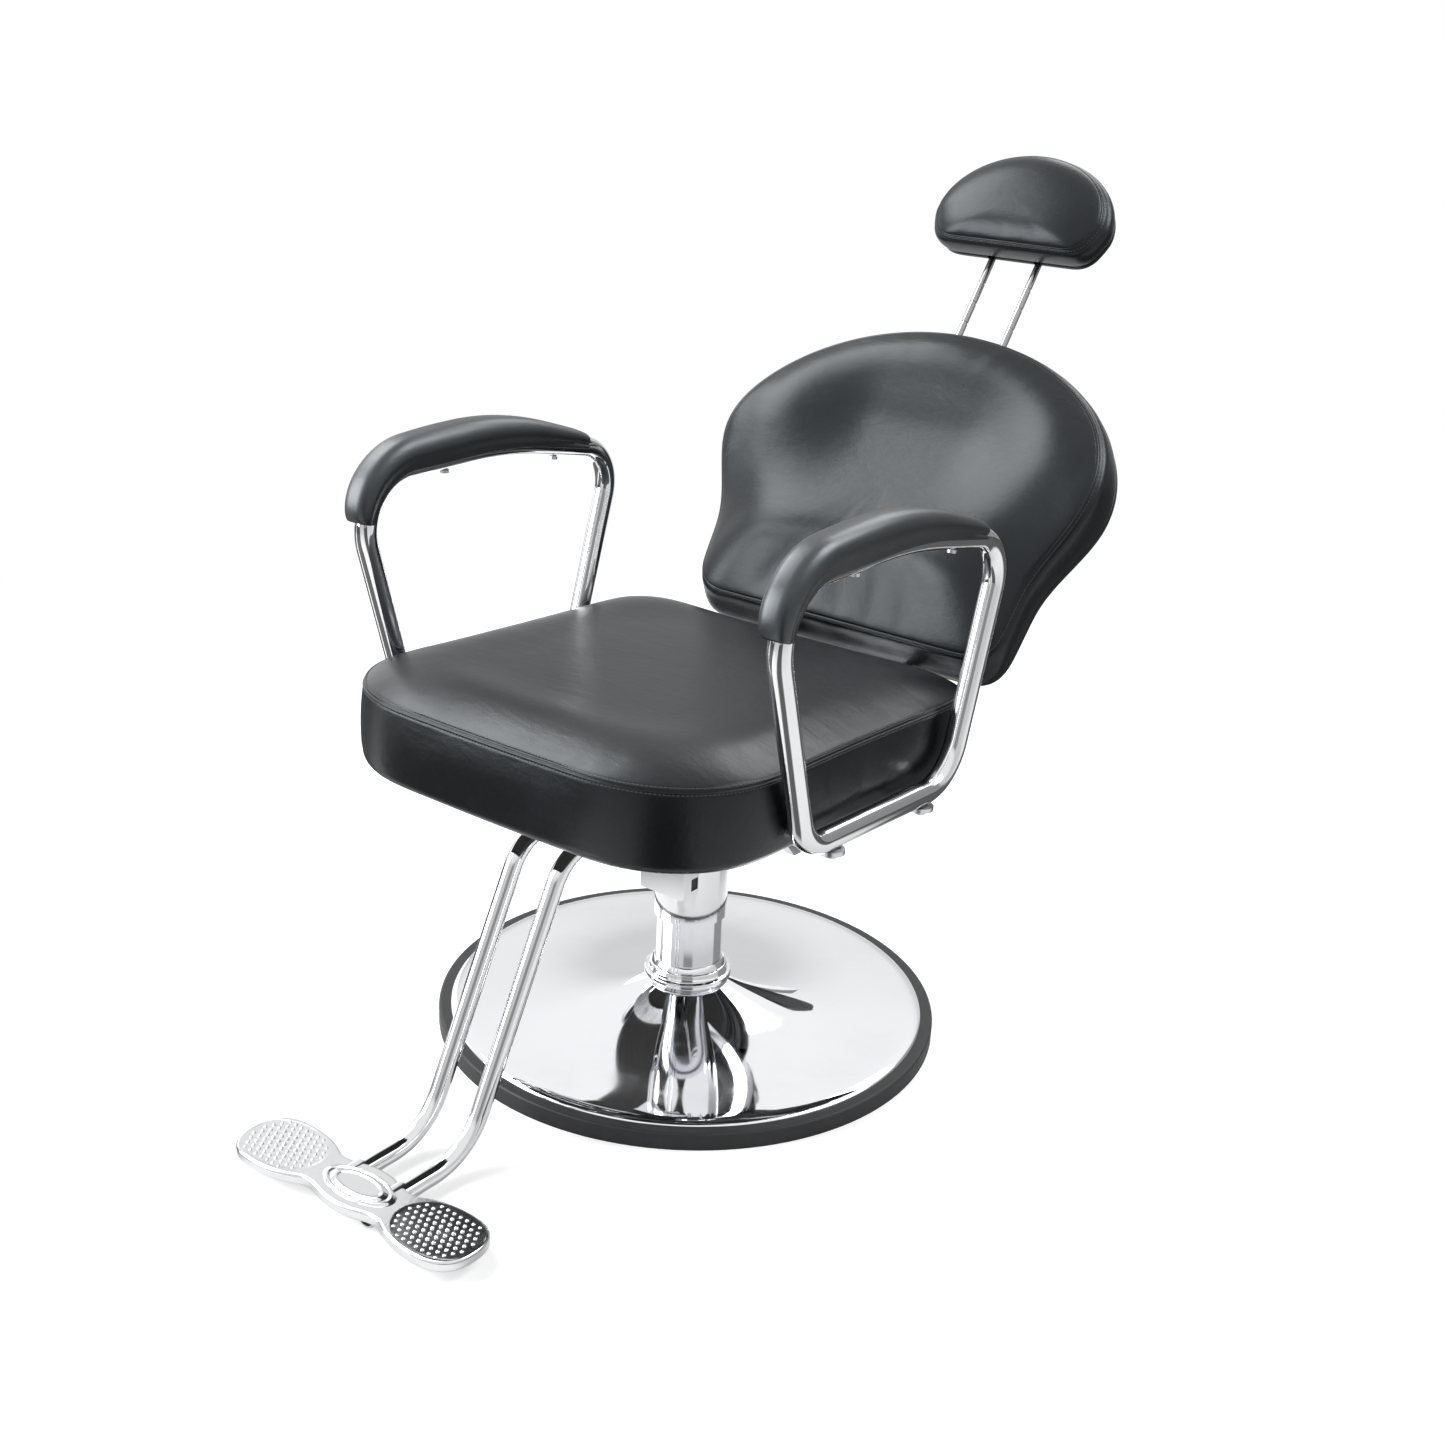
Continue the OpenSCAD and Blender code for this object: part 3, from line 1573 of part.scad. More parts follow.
// Steel brackets from the hinge to the board, joined by a tube that carries the strut's tab.
module back_brackets() {
  flange_w = 24;
  flange_h = 100;
  tab_rim = 4;
  tab_r = tab_pin_r + tab_slack + tab_rim;
  color("dimgray")
    difference() {
      union() {
        in_back_frame() {
          both_sides(bracket_x)
            translate([-bracket_t / 2, 0, 0])
              in_side_plane()
                linear_extrude(bracket_t)
                  union() {
                    circle(r = eye_r);
                    polygon([
                      [-eye_r * 0.7, eye_r * 0.7],
                      [eye_r * 0.9, -eye_r * 0.4],
                      [board_rear + 10, back_seam_s + 6],
                      [board_rear + 10, back_seam_s + 12 + flange_h],
                      [board_rear, back_seam_s + 12 + flange_h],
                      [board_rear, back_seam_s - 12]
                    ]);
                  }
          for (s = [-1, 1]) {
            translate([s * (bracket_x + 9) - flange_w / 2, board_rear, back_seam_s + 12])
              cube([flange_w, 5, flange_h]);
          }
        }
        translate([0, hinge_y, hinge_z])
          cross_rod(torsion_r, 2 * bracket_x);
        in_side_plane(-strut_x - tab_t / 2)
          linear_extrude(tab_t)
            union() {
              translate([tab_y, tab_z])
                circle(r = tab_r);
              polygon([
                [hinge_y - torsion_r + 1, hinge_z],
                [tab_y - tab_r, tab_z],
                [tab_y + tab_r, tab_z],
                [hinge_y + torsion_r - 1, hinge_z]
              ]);
            }
      }
      for (s = [-1, 1]) {
        translate([s * (pin_in_x + bracket_x + 4) / 2, hinge_y, hinge_z])
          cross_rod(pin_r, bracket_x + 4 - pin_in_x);
      }
      translate([-strut_x, tab_y, tab_z])
        cross_rod(tab_pin_r + tab_slack, 60);
      in_back_frame()
        back_screw_shanks(2.5 + bolt_gap);
    }
}

module post_guides() {
  color("black")
    in_back_frame()
      both_sides(post_x)
        translate([0, post_y, back_top_s - guide_len - 4])
          difference() {
            union() {
              cylinder(h = guide_len + 4, r = guide_r);
              translate([-guide_r, board_rear - post_y, 8])
                cube([2 * guide_r, post_y - board_rear, guide_len - 16]);
            }
            translate([0, 0, -1])
              cylinder(h = guide_len + 10, r = post_r + run_gap);
          }
}

// ================= headrest =================

head_corner = 28;
head_wide_s = 40;
head_centre = [0, 55];
function head_side() =
  let (hw = head_w / 2)
  concat(
    arc_points([hw - head_corner - 6, head_corner], head_corner, 270, 345, 4),
    [for (a = [0 : 12 : 84]) [hw * cos(a), head_wide_s + (head_h - head_wide_s) * sin(a)]]
  );
function head_outline() = concat(head_side(), [[0, head_h]], mirrored(head_side()), [[0, 0]]);
function head_ring(e, y) =
  [for (p = head_centre_grow(e)) [p[0], y, head_low_s + p[1]]];
function head_centre_grow(e) = [for (p = head_outline()) head_centre + (p - head_centre) * (1 + e / 90)];
head_crown = 17;

module headrest_cushion() {
  color([0.13, 0.13, 0.14])
    in_back_frame()
      loft(concat(
        [head_ring(-9, head_foam_rear)],
        [head_ring(0, head_foam_rear - 1)],
        [head_ring(7, head_seam_y + head_foam * 0.62)],
        [head_ring(5, head_seam_y + head_foam * 0.25)],
        [head_ring(0, head_seam_y)],
        [for (k = [0.96, 0.88, 0.75, 0.55, 0.28])
          [for (p = head_outline()) let (q = head_centre + (p - head_centre) * k)
            [q[0], head_seam_y - head_crown * (1 - pow(k, 4)), head_low_s + q[1]]]]
      ));
}

module head_plate(e, y, t) {
  translate([0, y + t, 0])
    rotate([90, 0, 0])
      linear_extrude(t)
        translate([0, head_low_s])
          polygon(head_centre_grow(e));
}

head_board_rear = head_board_y + head_board_t;

module headrest_board() {
  color("saddlebrown")
    in_back_frame()
      head_plate(-4, head_board_y, head_board_t);
}

module headrest_cover() {
  color([0.16, 0.16, 0.17])
    in_back_frame()
      difference() {
        head_plate(-1, head_board_rear, head_cover_t);
        translate([-60, head_board_rear - 1, head_low_s + 6])
          cube([120, head_cover_t - cover_wall + 1, 84]);
        both_sides(post_x)
          translate([0, post_y, head_low_s - 20])
            cylinder(h = 104, r = post_r + soft_gap);
      }
}

// Steel clamp screwed to the board: it grips the upper ends of both posts.
module headrest_clamp() {
  color("dimgray")
    in_back_frame()
      difference() {
        union() {
          translate([-post_x - 14, head_board_rear, head_low_s + 14])
            cube([2 * post_x + 28, 3, 60]);
          both_sides(post_x)
            translate([-7, head_board_rear, head_low_s + 18])
              cube([14, post_y - head_board_rear + 2, 52]);
        }
        both_sides(post_x)
          translate([0, post_y, head_low_s])
            cylinder(h = 100, r = post_r + run_gap);
      }
}

module headrest_posts() {
  color("gainsboro")
    in_back_frame()
      both_sides(post_x)
        difference() {
          translate([0, post_y, post_low_s])
            cylinder(h = post_top_s - post_low_s, r = post_r);
          for (i = [0 : 6]) {
            translate([0, post_y, notch_first_s - i * notch_pitch])
              difference() {
                cylinder(h = notch_w, r = post_r + 1);
                translate([0, 0, -1])
                  cylinder(h = notch_w + 2, r = post_r - notch_depth);
              }
          }
        }
}

// Return spring under the plunger's cap.
module plunger_spring() {
  coil_r = 6.2;
  wire_r = 0.7;
  turns = 4;
  from = lever_slot_z + wire_r + 0.1;
  rise = plunger_top_z - plunger_cap_t - wire_r - 0.1 - from;
  steps = 16 * turns;
  ring = [for (k = [0 : 7]) [cos(k * 45), sin(k * 45)] * wire_r];
  pts = [for (i = [0 : steps], q = ring)
    let (a = 360 * turns * i / steps) [
      (coil_r + q[0]) * cos(a),
      (coil_r + q[0]) * sin(a),
      from + rise * i / steps + q[1]
    ]];
  faces = concat(
    [for (i = [0 : steps - 1], k = [0 : 7]) [
      i * 8 + k, i * 8 + (k + 1) % 8, (i + 1) * 8 + (k + 1) % 8, (i + 1) * 8 + k
    ]],
    [[for (k = [7 : -1 : 0]) k]],
    [[for (k = [0 : 7]) steps * 8 + k]]
  );
  color("silver")
    polyhedron(pts, faces);
}

base_dome();
base_rim_ring();
base_weight();
base_collar();
pump_foot();
foot_flange_bolts();
column_sleeve();
guide_bush();
thrust_race_lower();
thrust_balls();
ram_retainer();
ram();
thrust_race_upper();
piston_seal();
pump_cylinder();
cylinder_gland();
pump_head();
window_plug();
mounting_plate();
pump_bolts();
seat_rails();
cross_bars();
seat_board();
seat_cushion();
seat_bolts();
arm_frame_left();
arm_frame_right();
arm_bolts();
arm_pad_left();
arm_pad_right();
arm_pad_screws();
footrest_bracket();
footrest_tube_left();
footrest_tube_right();
footplate();
hinge_brackets();
hinge_pins();
lever_brackets();
strut_rod();
strut_anchor();
strut_pin();
pedal_pin();
pedal_arm();
pedal_pad();
pump_plunger();
plunger_spring();
strut_cylinder();
recline_lever();
lever_grip();
back_brackets();
back_board();
back_cushion();
back_cover();
back_screws();
post_guides();
headrest_posts();
headrest_board();
headrest_cushion();
headrest_cover();
headrest_clamp();
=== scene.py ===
"""Reclining hydraulic salon chair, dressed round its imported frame."""

import json
import math

import bmesh
import bpy
import numpy as np
from bpy.props import FloatProperty, FloatVectorProperty, PointerProperty
from mathutils import Matrix, Vector, kdtree


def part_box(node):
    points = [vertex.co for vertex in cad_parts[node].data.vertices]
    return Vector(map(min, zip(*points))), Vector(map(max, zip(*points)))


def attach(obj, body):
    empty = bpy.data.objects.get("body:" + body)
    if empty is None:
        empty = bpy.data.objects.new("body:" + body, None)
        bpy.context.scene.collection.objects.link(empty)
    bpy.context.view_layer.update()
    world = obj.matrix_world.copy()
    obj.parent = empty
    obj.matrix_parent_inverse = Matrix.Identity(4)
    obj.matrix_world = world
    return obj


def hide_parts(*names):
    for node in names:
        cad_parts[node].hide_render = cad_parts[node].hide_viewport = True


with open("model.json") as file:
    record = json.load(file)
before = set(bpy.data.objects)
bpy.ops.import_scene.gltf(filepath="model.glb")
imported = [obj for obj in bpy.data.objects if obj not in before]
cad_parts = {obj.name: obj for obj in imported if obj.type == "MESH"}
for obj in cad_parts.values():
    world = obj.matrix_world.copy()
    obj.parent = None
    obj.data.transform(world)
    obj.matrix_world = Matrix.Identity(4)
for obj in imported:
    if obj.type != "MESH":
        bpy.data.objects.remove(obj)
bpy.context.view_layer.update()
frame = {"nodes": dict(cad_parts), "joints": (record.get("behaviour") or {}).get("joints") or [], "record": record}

bl_info = {
    "name": "Salon Chair",
    "version": (1, 0, 0),
    "blender": (4, 5, 0),
    "location": "View3D > Sidebar > Salon Chair",
    "description": "Builds the upholstery, chrome and stage of a reclining salon chair",
    "category": "Object",
}

JOINTS = {j["name"]: j for j in frame["joints"]}
HINGE = Vector(JOINTS["back_recline"]["pos_m"])
UP_BACK = Vector(JOINTS["headrest_slide"]["axis"])
RECLINE = math.atan2(UP_BACK.y, UP_BACK.z)
SEAT_PLACE = (0, 0, 0.344)
SEAT_TILT = math.radians(-2.5)
SEAT_FRAME = Matrix.Translation(SEAT_PLACE) @ Matrix.Rotation(SEAT_TILT, 4, "X")
BACK_FRAME = Matrix.Translation(HINGE) @ Matrix.Rotation(-RECLINE, 4, "X")
SIDES = ((1, "left"), (-1, "right"))


# ---------------------------------------------------------------- settings


def length(label, about, default, high=2.0):
    """A distance for a user to set."""
    return FloatProperty(
        name=label,
        description=about,
        default=default,
        min=0.0,
        max=high,
        subtype="DISTANCE",
        unit="LENGTH",
        precision=4,
    )


def angle(label, about, degrees):
    """An angle for a user to set."""
    return FloatProperty(name=label, description=about, default=math.radians(degrees), subtype="ANGLE")


def colour(label, about, default):
    """A colour for a user to set."""
    return FloatVectorProperty(
        name=label, description=about, default=default, size=3, min=0, max=1, subtype="COLOR"
    )


class ChairSeatSettings(bpy.types.PropertyGroup):
    width: length("Width", "Width of the seat cushion", 0.516)
    front: length("Front reach", "Reach of the cushion in front of the axis", 0.348)
    rear: length("Rear reach", "Reach of the cushion behind the axis", 0.195)
    front_radius: length("Front corners", "Plan radius of the front corners", 0.130)
    rear_radius: length("Rear corners", "Plan radius of the rear corners", 0.062)
    base_height: length("Board top", "Height of the cushion's foot above the seat frame", 0.0093)
    board_inset: length("Board inset", "Distance of the seat board's edge from the cushion's outline", 0.022)
    boxing: length("Boxing", "Height of the boxing from the board to the seam", 0.081)
    crown: length("Crown", "Rise of the seat above its seam", 0.022)
    hollow: length("Hollow", "Depth of the dip where the sitter sits", 0.0075)


class ChairBackSettings(bpy.types.PropertyGroup):
    seam_low: length("Lower seam", "Distance from the hinge up to the back's lower seam", 0.084)
    seam_depth: length("Seam depth", "Reach of the front seam ahead of the hinge", 0.023)
    height: length("Height", "Height of the back cushion", 0.411)
    width: length("Width", "Width at the shoulders", 0.532)
    waist: length("Waist", "Width at the waist", 0.446)
    shoulder: length("Shoulder height", "Height of the shoulders above the lower seam", 0.228)
    foam: length("Foam", "Depth of the cushion from its seam to its board", 0.032)
    wing: length("Wings", "Forward reach of the wings at the shoulders", 0.019)
    droop: length("Droop", "Drop of the wrapped lower edge below the front seam", 0.012)
    board: length("Board", "Thickness of the back board", 0.012)
    shell: length("Rear shell", "Thickness of the upholstered rear shell", 0.018)


class ChairHeadSettings(bpy.types.PropertyGroup):
    low: length("Lower edge", "Distance from the hinge up to the headrest", 0.638)
    width: length("Width", "Width of the headrest", 0.236)
    height: length("Height", "Height of the headrest", 0.130)
    foam: length("Foam", "Depth of the headrest from its seam to its board", 0.026)
    crown: length("Crown", "Forward bulge of the headrest's face", 0.017)
    board: length("Board", "Thickness of the headrest's board", 0.009)
    shell: length("Rear shell", "Thickness of the upholstered rear shell", 0.012)


class ChairArmSettings(bpy.types.PropertyGroup):
    spread: length("Spread", "Distance of an arm's tube from the middle", 0.276)
    tube: length("Tube radius", "Outer radius of the arm tube", 0.0125)
    pad_half_width: length("Pad half width", "Half width of the arm pad at its widest", 0.023)
    pad_height: length("Pad height", "Height of the arm pad over the tube's middle", 0.039)


class ChairFootSettings(bpy.types.PropertyGroup):
    spread: length("Spread", "Distance of a footrest tube from the middle", 0.030)
    tube: length("Tube radius", "Outer radius of a footrest tube", 0.010)
    reach: length("Plate reach", "Reach of the footplate's middle in front of the axis", 0.523)
    plate_length: length("Plate length", "Length of the footplate, side to side", 0.322)
    plate_top: length("Plate top", "Height of the footplate's top", 0.0255)
    plate_thick: length("Plate thickness", "Thickness of the footplate's lobes", 0.012)
    stud_pitch: length("Stud pitch", "Distance between neighbouring studs", 0.0086)
    stud_radius: length("Stud radius", "Radius of a raised stud", 0.0022)


class ChairStitchSettings(bpy.types.PropertyGroup):
    pitch: length("Pitch", "Distance between neighbouring stitches", 0.0044)
    stitch: length("Length", "Length of one stitch", 0.0030)
    thread: length("Thread", "Radius of the thread", 0.00055)
    row_gap: length("Row gap", "Distance of a stitched row from its seam", 0.0038)


class ChairFinishSettings(bpy.types.PropertyGroup):
    vinyl: colour("Vinyl", "Colour of the upholstery vinyl", (0.0026, 0.0031, 0.0042))
    vinyl_worn: colour("Vinyl, worn", "Colour of the vinyl where it is rubbed", (0.0070, 0.0082, 0.0105))
    vinyl_sheen: colour("Vinyl sheen", "Tint of the vinyl's gloss", (0.88, 0.95, 1.0))
    chrome: colour("Chrome", "Tint of the chrome on tubes and column", (0.78, 0.785, 0.80))
    # The base's chrome tint is set lighter than the tubes' chrome: painted brightness, a lit copy of the same
    # plating.
    dome_chrome: colour("Dome chrome", "Tint of the chrome on the base", (0.90, 0.905, 0.93))
    rubber: colour("Rubber", "Colour of the base's rubber rim", (0.010, 0.0105, 0.012))
    paint: colour("Frame paint", "Colour of the painted frame parts", (0.012, 0.012, 0.014))
    aluminium: colour("Aluminium", "Tint of the cast footplate", (0.74, 0.745, 0.76))
    wood: colour("Plywood", "Colour of the black-stained boards inside the cushions", (0.014, 0.012, 0.011))


class ChairStageSettings(bpy.types.PropertyGroup):
    lens: FloatProperty(
        name="Lens",
        description="Focal length of the camera",
        default=46.595,
        min=10,
        max=200,
        subtype="DISTANCE_CAMERA",
    )
    azimuth: angle("Azimuth", "Camera's angle round the chair", 36.513)
    elevation: angle("Elevation", "Camera's angle above the horizon", 21.129)
    roll: angle("Roll", "Camera's roll", 2.759)
    floor: length("Floor", "Radius of the floor", 9.0, high=50)
    lamp_power: FloatProperty(
        name="Lamp power",
        description="Power of the lamp overhead, which the other lamps follow",
        default=58,
        min=0,
        unit="POWER",
    )
    ambient: FloatProperty(
        name="Ambient", description="Strength of the room's even light", default=0.27, min=0, max=1
    )


class ChairSettings(bpy.types.PropertyGroup):
    seat: PointerProperty(type=ChairSeatSettings, name="Seat", description="Sizes of the seat cushion")
    back: PointerProperty(type=ChairBackSettings, name="Back", description="Sizes of the back cushion")
    head: PointerProperty(type=ChairHeadSettings, name="Headrest", description="Sizes of the headrest")
    arm: PointerProperty(type=ChairArmSettings, name="Arms", description="Sizes of the arms")
    foot: PointerProperty(type=ChairFootSettings, name="Footrest", description="Sizes of the footrest")
    stitch: PointerProperty(type=ChairStitchSettings, name="Stitching", description="Sizes of the stitching")
    finish: PointerProperty(type=ChairFinishSettings, name="Finishes", description="Colours of the materials")
    stage: PointerProperty(type=ChairStageSettings, name="Stage", description="Camera, floor and lamps")


# ---------------------------------------------------------------- node trees

# a Mix node's sockets when it mixes colours
MIX_FACTOR, MIX_A, MIX_B, MIX_RESULT = 0, 6, 7, 2


class Value:
    """A socket that Python's arithmetic works on."""

    def __init__(self, kit, socket):
        self.kit, self.socket = kit, socket

    def _math(self, operation, a, b=0.0):
        return self.kit.node("ShaderNodeMath", {"operation": operation}, {0: a, 1: b})

    def __add__(self, other):
        return self._math("ADD", self, other)

    def __sub__(self, other):
        return self._math("SUBTRACT", self, other)

    def __rsub__(self, other):
        return self._math("SUBTRACT", other, self)

    def __mul__(self, other):
        return self._math("MULTIPLY", self, other)

    def __truediv__(self, other):
        return self._math("DIVIDE", self, other)

    def __pow__(self, other):
        return self._math("POWER", self, other)

    __radd__ = __add__
    __rmul__ = __mul__

    def most(self, other):
        return self._math("MAXIMUM", self, other)

    def wave(self):
        """The size of its sine."""
        return self._math("ABSOLUTE", self._math("SINE", self))

    def fade(self, low, high):
        """0 below low and 1 above high, with a smooth step between."""
        return self.kit.node(
            "ShaderNodeMapRange",
            {"interpolation_type": "SMOOTHSTEP"},
            {"Value": self, "From Min": low, "From Max": high},
        )


class Kit:
    """Empties one tree and fills it with nodes."""

    def __init__(self, tree):
        self.tree = tree
        tree.nodes.clear()

    def node(self, kind, settings=None, sockets=None, output=0):
        """A new node, given by one of its outputs if it has any."""
        made = self.tree.nodes.new(kind)
        for key, value in (settings or {}).items():
            setattr(made, key, value)
        self.fill(made, sockets or {})
        return Value(self, made.outputs[output]) if made.outputs else None

    def fill(self, node, sockets):
        """Links each socket to a value or sets it to a number or colour."""
        for key, value in sockets.items():
            if isinstance(value, Value):
                self.tree.links.new(value.socket, node.inputs[key])
            elif value is not None:
                node.inputs[key].default_value = value

    def part(self, value, output):
        """Another output of the node that a value comes from."""
        return Value(self, value.socket.node.outputs[output])

    def mix(self, factor, a, b):
        """A colour between a and b."""
        sockets = {MIX_FACTOR: factor, MIX_A: solid(a), MIX_B: solid(b)}
        return self.node("ShaderNodeMix", {"data_type": "RGBA"}, sockets, MIX_RESULT)

    def split(self, vector):
        """A vector's three numbers."""
        x = self.node("ShaderNodeSeparateXYZ", None, {"Vector": vector})
        return x, self.part(x, "Y"), self.part(x, "Z")


def own_tree(owner):
    """The node tree of a material or a world."""
    owner.use_nodes = True
    return owner.node_tree


def solid(value):
    """A colour as four numbers; a value stays as it is."""
    return value if isinstance(value, Value) else (*value[:3], 1.0)


class Finish(Kit):
    """A material with one Principled shader and patterns fixed to the object."""

    def __init__(self, name):
        self.material = bpy.data.materials.new(name)
        super().__init__(own_tree(self.material))
        surface = self.node("ShaderNodeBsdfPrincipled")
        self.shader = surface.socket.node
        self.node("ShaderNodeOutputMaterial", None, {"Surface": surface})
        self.place = self.node("ShaderNodeTexCoord", output="Object")

    def noise(self, scale, detail=2.0, rough=0.5, distort=0.0, stretch=None):
        """Cloudy noise, stretched along the axes where it has a grain."""
        where = self.place
        if stretch:
            where = self.node("ShaderNodeMapping", None, {"Vector": where, "Scale": stretch})
        sockets = {"Vector": where, "Scale": scale, "Detail": detail}
        sockets |= {"Roughness": rough, "Distortion": distort}
        return self.node("ShaderNodeTexNoise", None, sockets)

    def pebbles(self, scale):
        """Soft-edged cells."""
        sockets = {"Vector": self.place, "Scale": scale}
        return self.node("ShaderNodeTexVoronoi", {"feature": "SMOOTH_F1"}, sockets)

    def set(self, **sockets):
        """Fills the shader's sockets, whose names are written with underscores."""
        self.fill(self.shader, {key.replace("_", " "): value for key, value in sockets.items()})

    def bump(self, height, depth, strength, onto=None):
        """Raises the surface by depth, in metres, where height is 1."""
        sockets = {"Strength": strength, "Distance": depth, "Height": height, "Normal": onto}
        normal = self.node("ShaderNodeBump", None, sockets)
        self.set(Normal=normal)
        return normal

    def coat(self, wear, clean, worn, roughness, relief, depth, strength=0.5, metallic=0.0):
        """Colours from clean to worn by wear, a roughness and one bump; gives the material."""
        self.set(Base_Color=self.mix(wear, clean, worn), Roughness=roughness, Metallic=metallic)
        self.bump(relief, depth, strength)
        return self.material


# ---------------------------------------------------------------- finishes


def scaled(tint, factor, lift=0.0):
    """A colour made lighter or darker."""
    return [c * factor + lift for c in tint]


def vinyl_finish(name, settings, gloss=0.25, grain=1.0, sheen=0.36):
    """Grained upholstery vinyl: pores, faint pull lines and rubbed patches."""
    f = Finish(name)
    patches = f.noise(5.5, 4, 0.55).fade(0.35, 0.72)
    pores = f.noise(1500, 2, 0.6)
    mottle = f.noise(1.0, 5, 0.62, 0.5, stretch=(70, 130, 130))
    pull = f.noise(1.0, 4, 0.6, 0.7, stretch=(9, 26, 15))
    tone = patches * 0.6 + f.noise(60, 3) * 0.4
    f.set(
        Base_Color=f.mix(tone, settings.vinyl, settings.vinyl_worn),
        Roughness=gloss + patches * 0.05 + pores * 0.04 + mottle * 0.06,
        Specular_IOR_Level=sheen,
        Specular_Tint=solid(settings.vinyl_sheen),
    )
    fine = f.bump(f.pebbles(640) * 0.6 + pores * 0.4, 0.0002 * grain, 0.32)
    middle = f.bump(mottle, 0.00055 * grain, 0.4, onto=fine)
    f.bump(pull, 0.0012 * grain, 0.4, onto=middle)
    return f.material


def thread_finish():
    """Twisted black polyester thread."""
    f = Finish("black_thread")
    twist = f.noise(2600, 1)
    return f.coat(twist, (0.03, 0.032, 0.036), (0.11, 0.115, 0.125), 0.5, twist, 0.0001, 0.6)


def chrome_finish(name, tint, wave=0.0, smear=0.05, gloss=0.035):
    """Plated steel: faint haze and wipe marks, and a slow wave in a spun sheet."""
    f = Finish(name)
    haze = f.noise(14, 5, 0.6).fade(0.45, 0.8)
    wipe = f.noise(1, 3, stretch=(30, 30, 320)).fade(0.55, 0.8)
    dust = f.noise(900, 1).fade(0.74, 0.8)
    rough = gloss + haze * smear * 0.6 + wipe * smear * 0.5 + dust * 0.05
    relief = (f.noise(5, 1, 0.3), wave, 1.0) if wave else (f.noise(120, 2), 0.00002, 0.5)
    return f.coat(haze * 0.35, tint, scaled(tint, 0.9), rough, *relief, metallic=1.0)


def rubber_finish(name, tint):
    """Moulded rubber with a pale bloom and fine grit."""
    f = Finish(name)
    bloom = f.noise(22, 5, 0.6)
    grit = f.noise(900, 2)
    rough = 0.42 + bloom * 0.16 + grit * 0.06
    return f.coat(bloom.fade(0.3, 0.8), tint, scaled(tint, 2.1), rough, grit, 0.00012)


def paint_finish(name, tint):
    """Powder coat with orange peel and scuffed edges."""
    f = Finish(name)
    peel = f.noise(520, 2, 0.4)
    scuff = f.noise(48, 6, 0.7).fade(0.62, 0.74)
    rough = 0.34 + scuff * 0.2 + peel * 0.05
    return f.coat(scuff * 0.5, tint, scaled(tint, 3, 0.01), rough, peel, 0.00012, 0.6)


def steel_finish(name, tint, gloss=0.26, brush=(4, 4, 900)):
    """Ground or plated steel with fine tool marks and dull spots."""
    f = Finish(name)
    marks = f.noise(1, 3, 0.6, stretch=brush)
    dull = f.noise(40, 5, 0.6).fade(0.45, 0.75)
    rough = gloss + marks * 0.12 + dull * 0.1
    return f.coat(dull * 0.5, tint, scaled(tint, 0.72), rough, marks, 0.00004, 0.6, metallic=1.0)


def plastic_finish(name, tint, gloss=0.38):
    """Moulded plastic with faint flow marks."""
    f = Finish(name)
    spark = f.noise(1400, 2)
    return f.coat(f.noise(18, 3), tint, scaled(tint, 1.6), gloss + spark * 0.1, spark, 0.00008)


def iron_finish():
    """Rough sand-cast iron under black paint."""
    f = Finish("painted_cast_iron")
    sand = f.noise(380, 5, 0.7)
    rust = f.noise(12, 6, 0.7).fade(0.6, 0.75)
    black, brown = (0.012, 0.012, 0.013), (0.09, 0.045, 0.025)
    return f.coat(rust * 0.4, black, brown, 0.5 + sand * 0.2 + rust * 0.1, sand, 0.0005, 0.7)


def plywood_finish(tint):
    """Black-stained plywood: open grain on the faces and plies along the edge."""
    f = Finish("stained_plywood")
    grain = f.noise(1, 5, 0.6, 0.4, stretch=(220, 9, 9))
    knots = f.noise(7, 4).fade(0.62, 0.8)
    plies = (f.split(f.place)[2] * 2100).wave().fade(0.2, 0.9)
    dark = scaled(tint, 0.5)
    wood = f.mix(grain.fade(0.3, 0.75), tint, dark)
    return f.coat(knots * 0.4 + plies * 0.12, wood, dark, 0.62 + grain * 0.15, grain, 0.0003, 0.6)


def aluminium_finish(name, tint):
    """Buffed casting: polished high spots over faint casting ripple."""
    f = Finish(name)
    ripple = f.noise(55, 4, 0.55)
    cloud = f.noise(16, 4).fade(0.4, 0.75)
    rough = 0.085 + cloud * 0.07 + ripple * 0.05
    return f.coat(cloud * 0.3, tint, scaled(tint, 0.86), rough, ripple, 0.00025, metallic=1.0)


FINISHES = {}


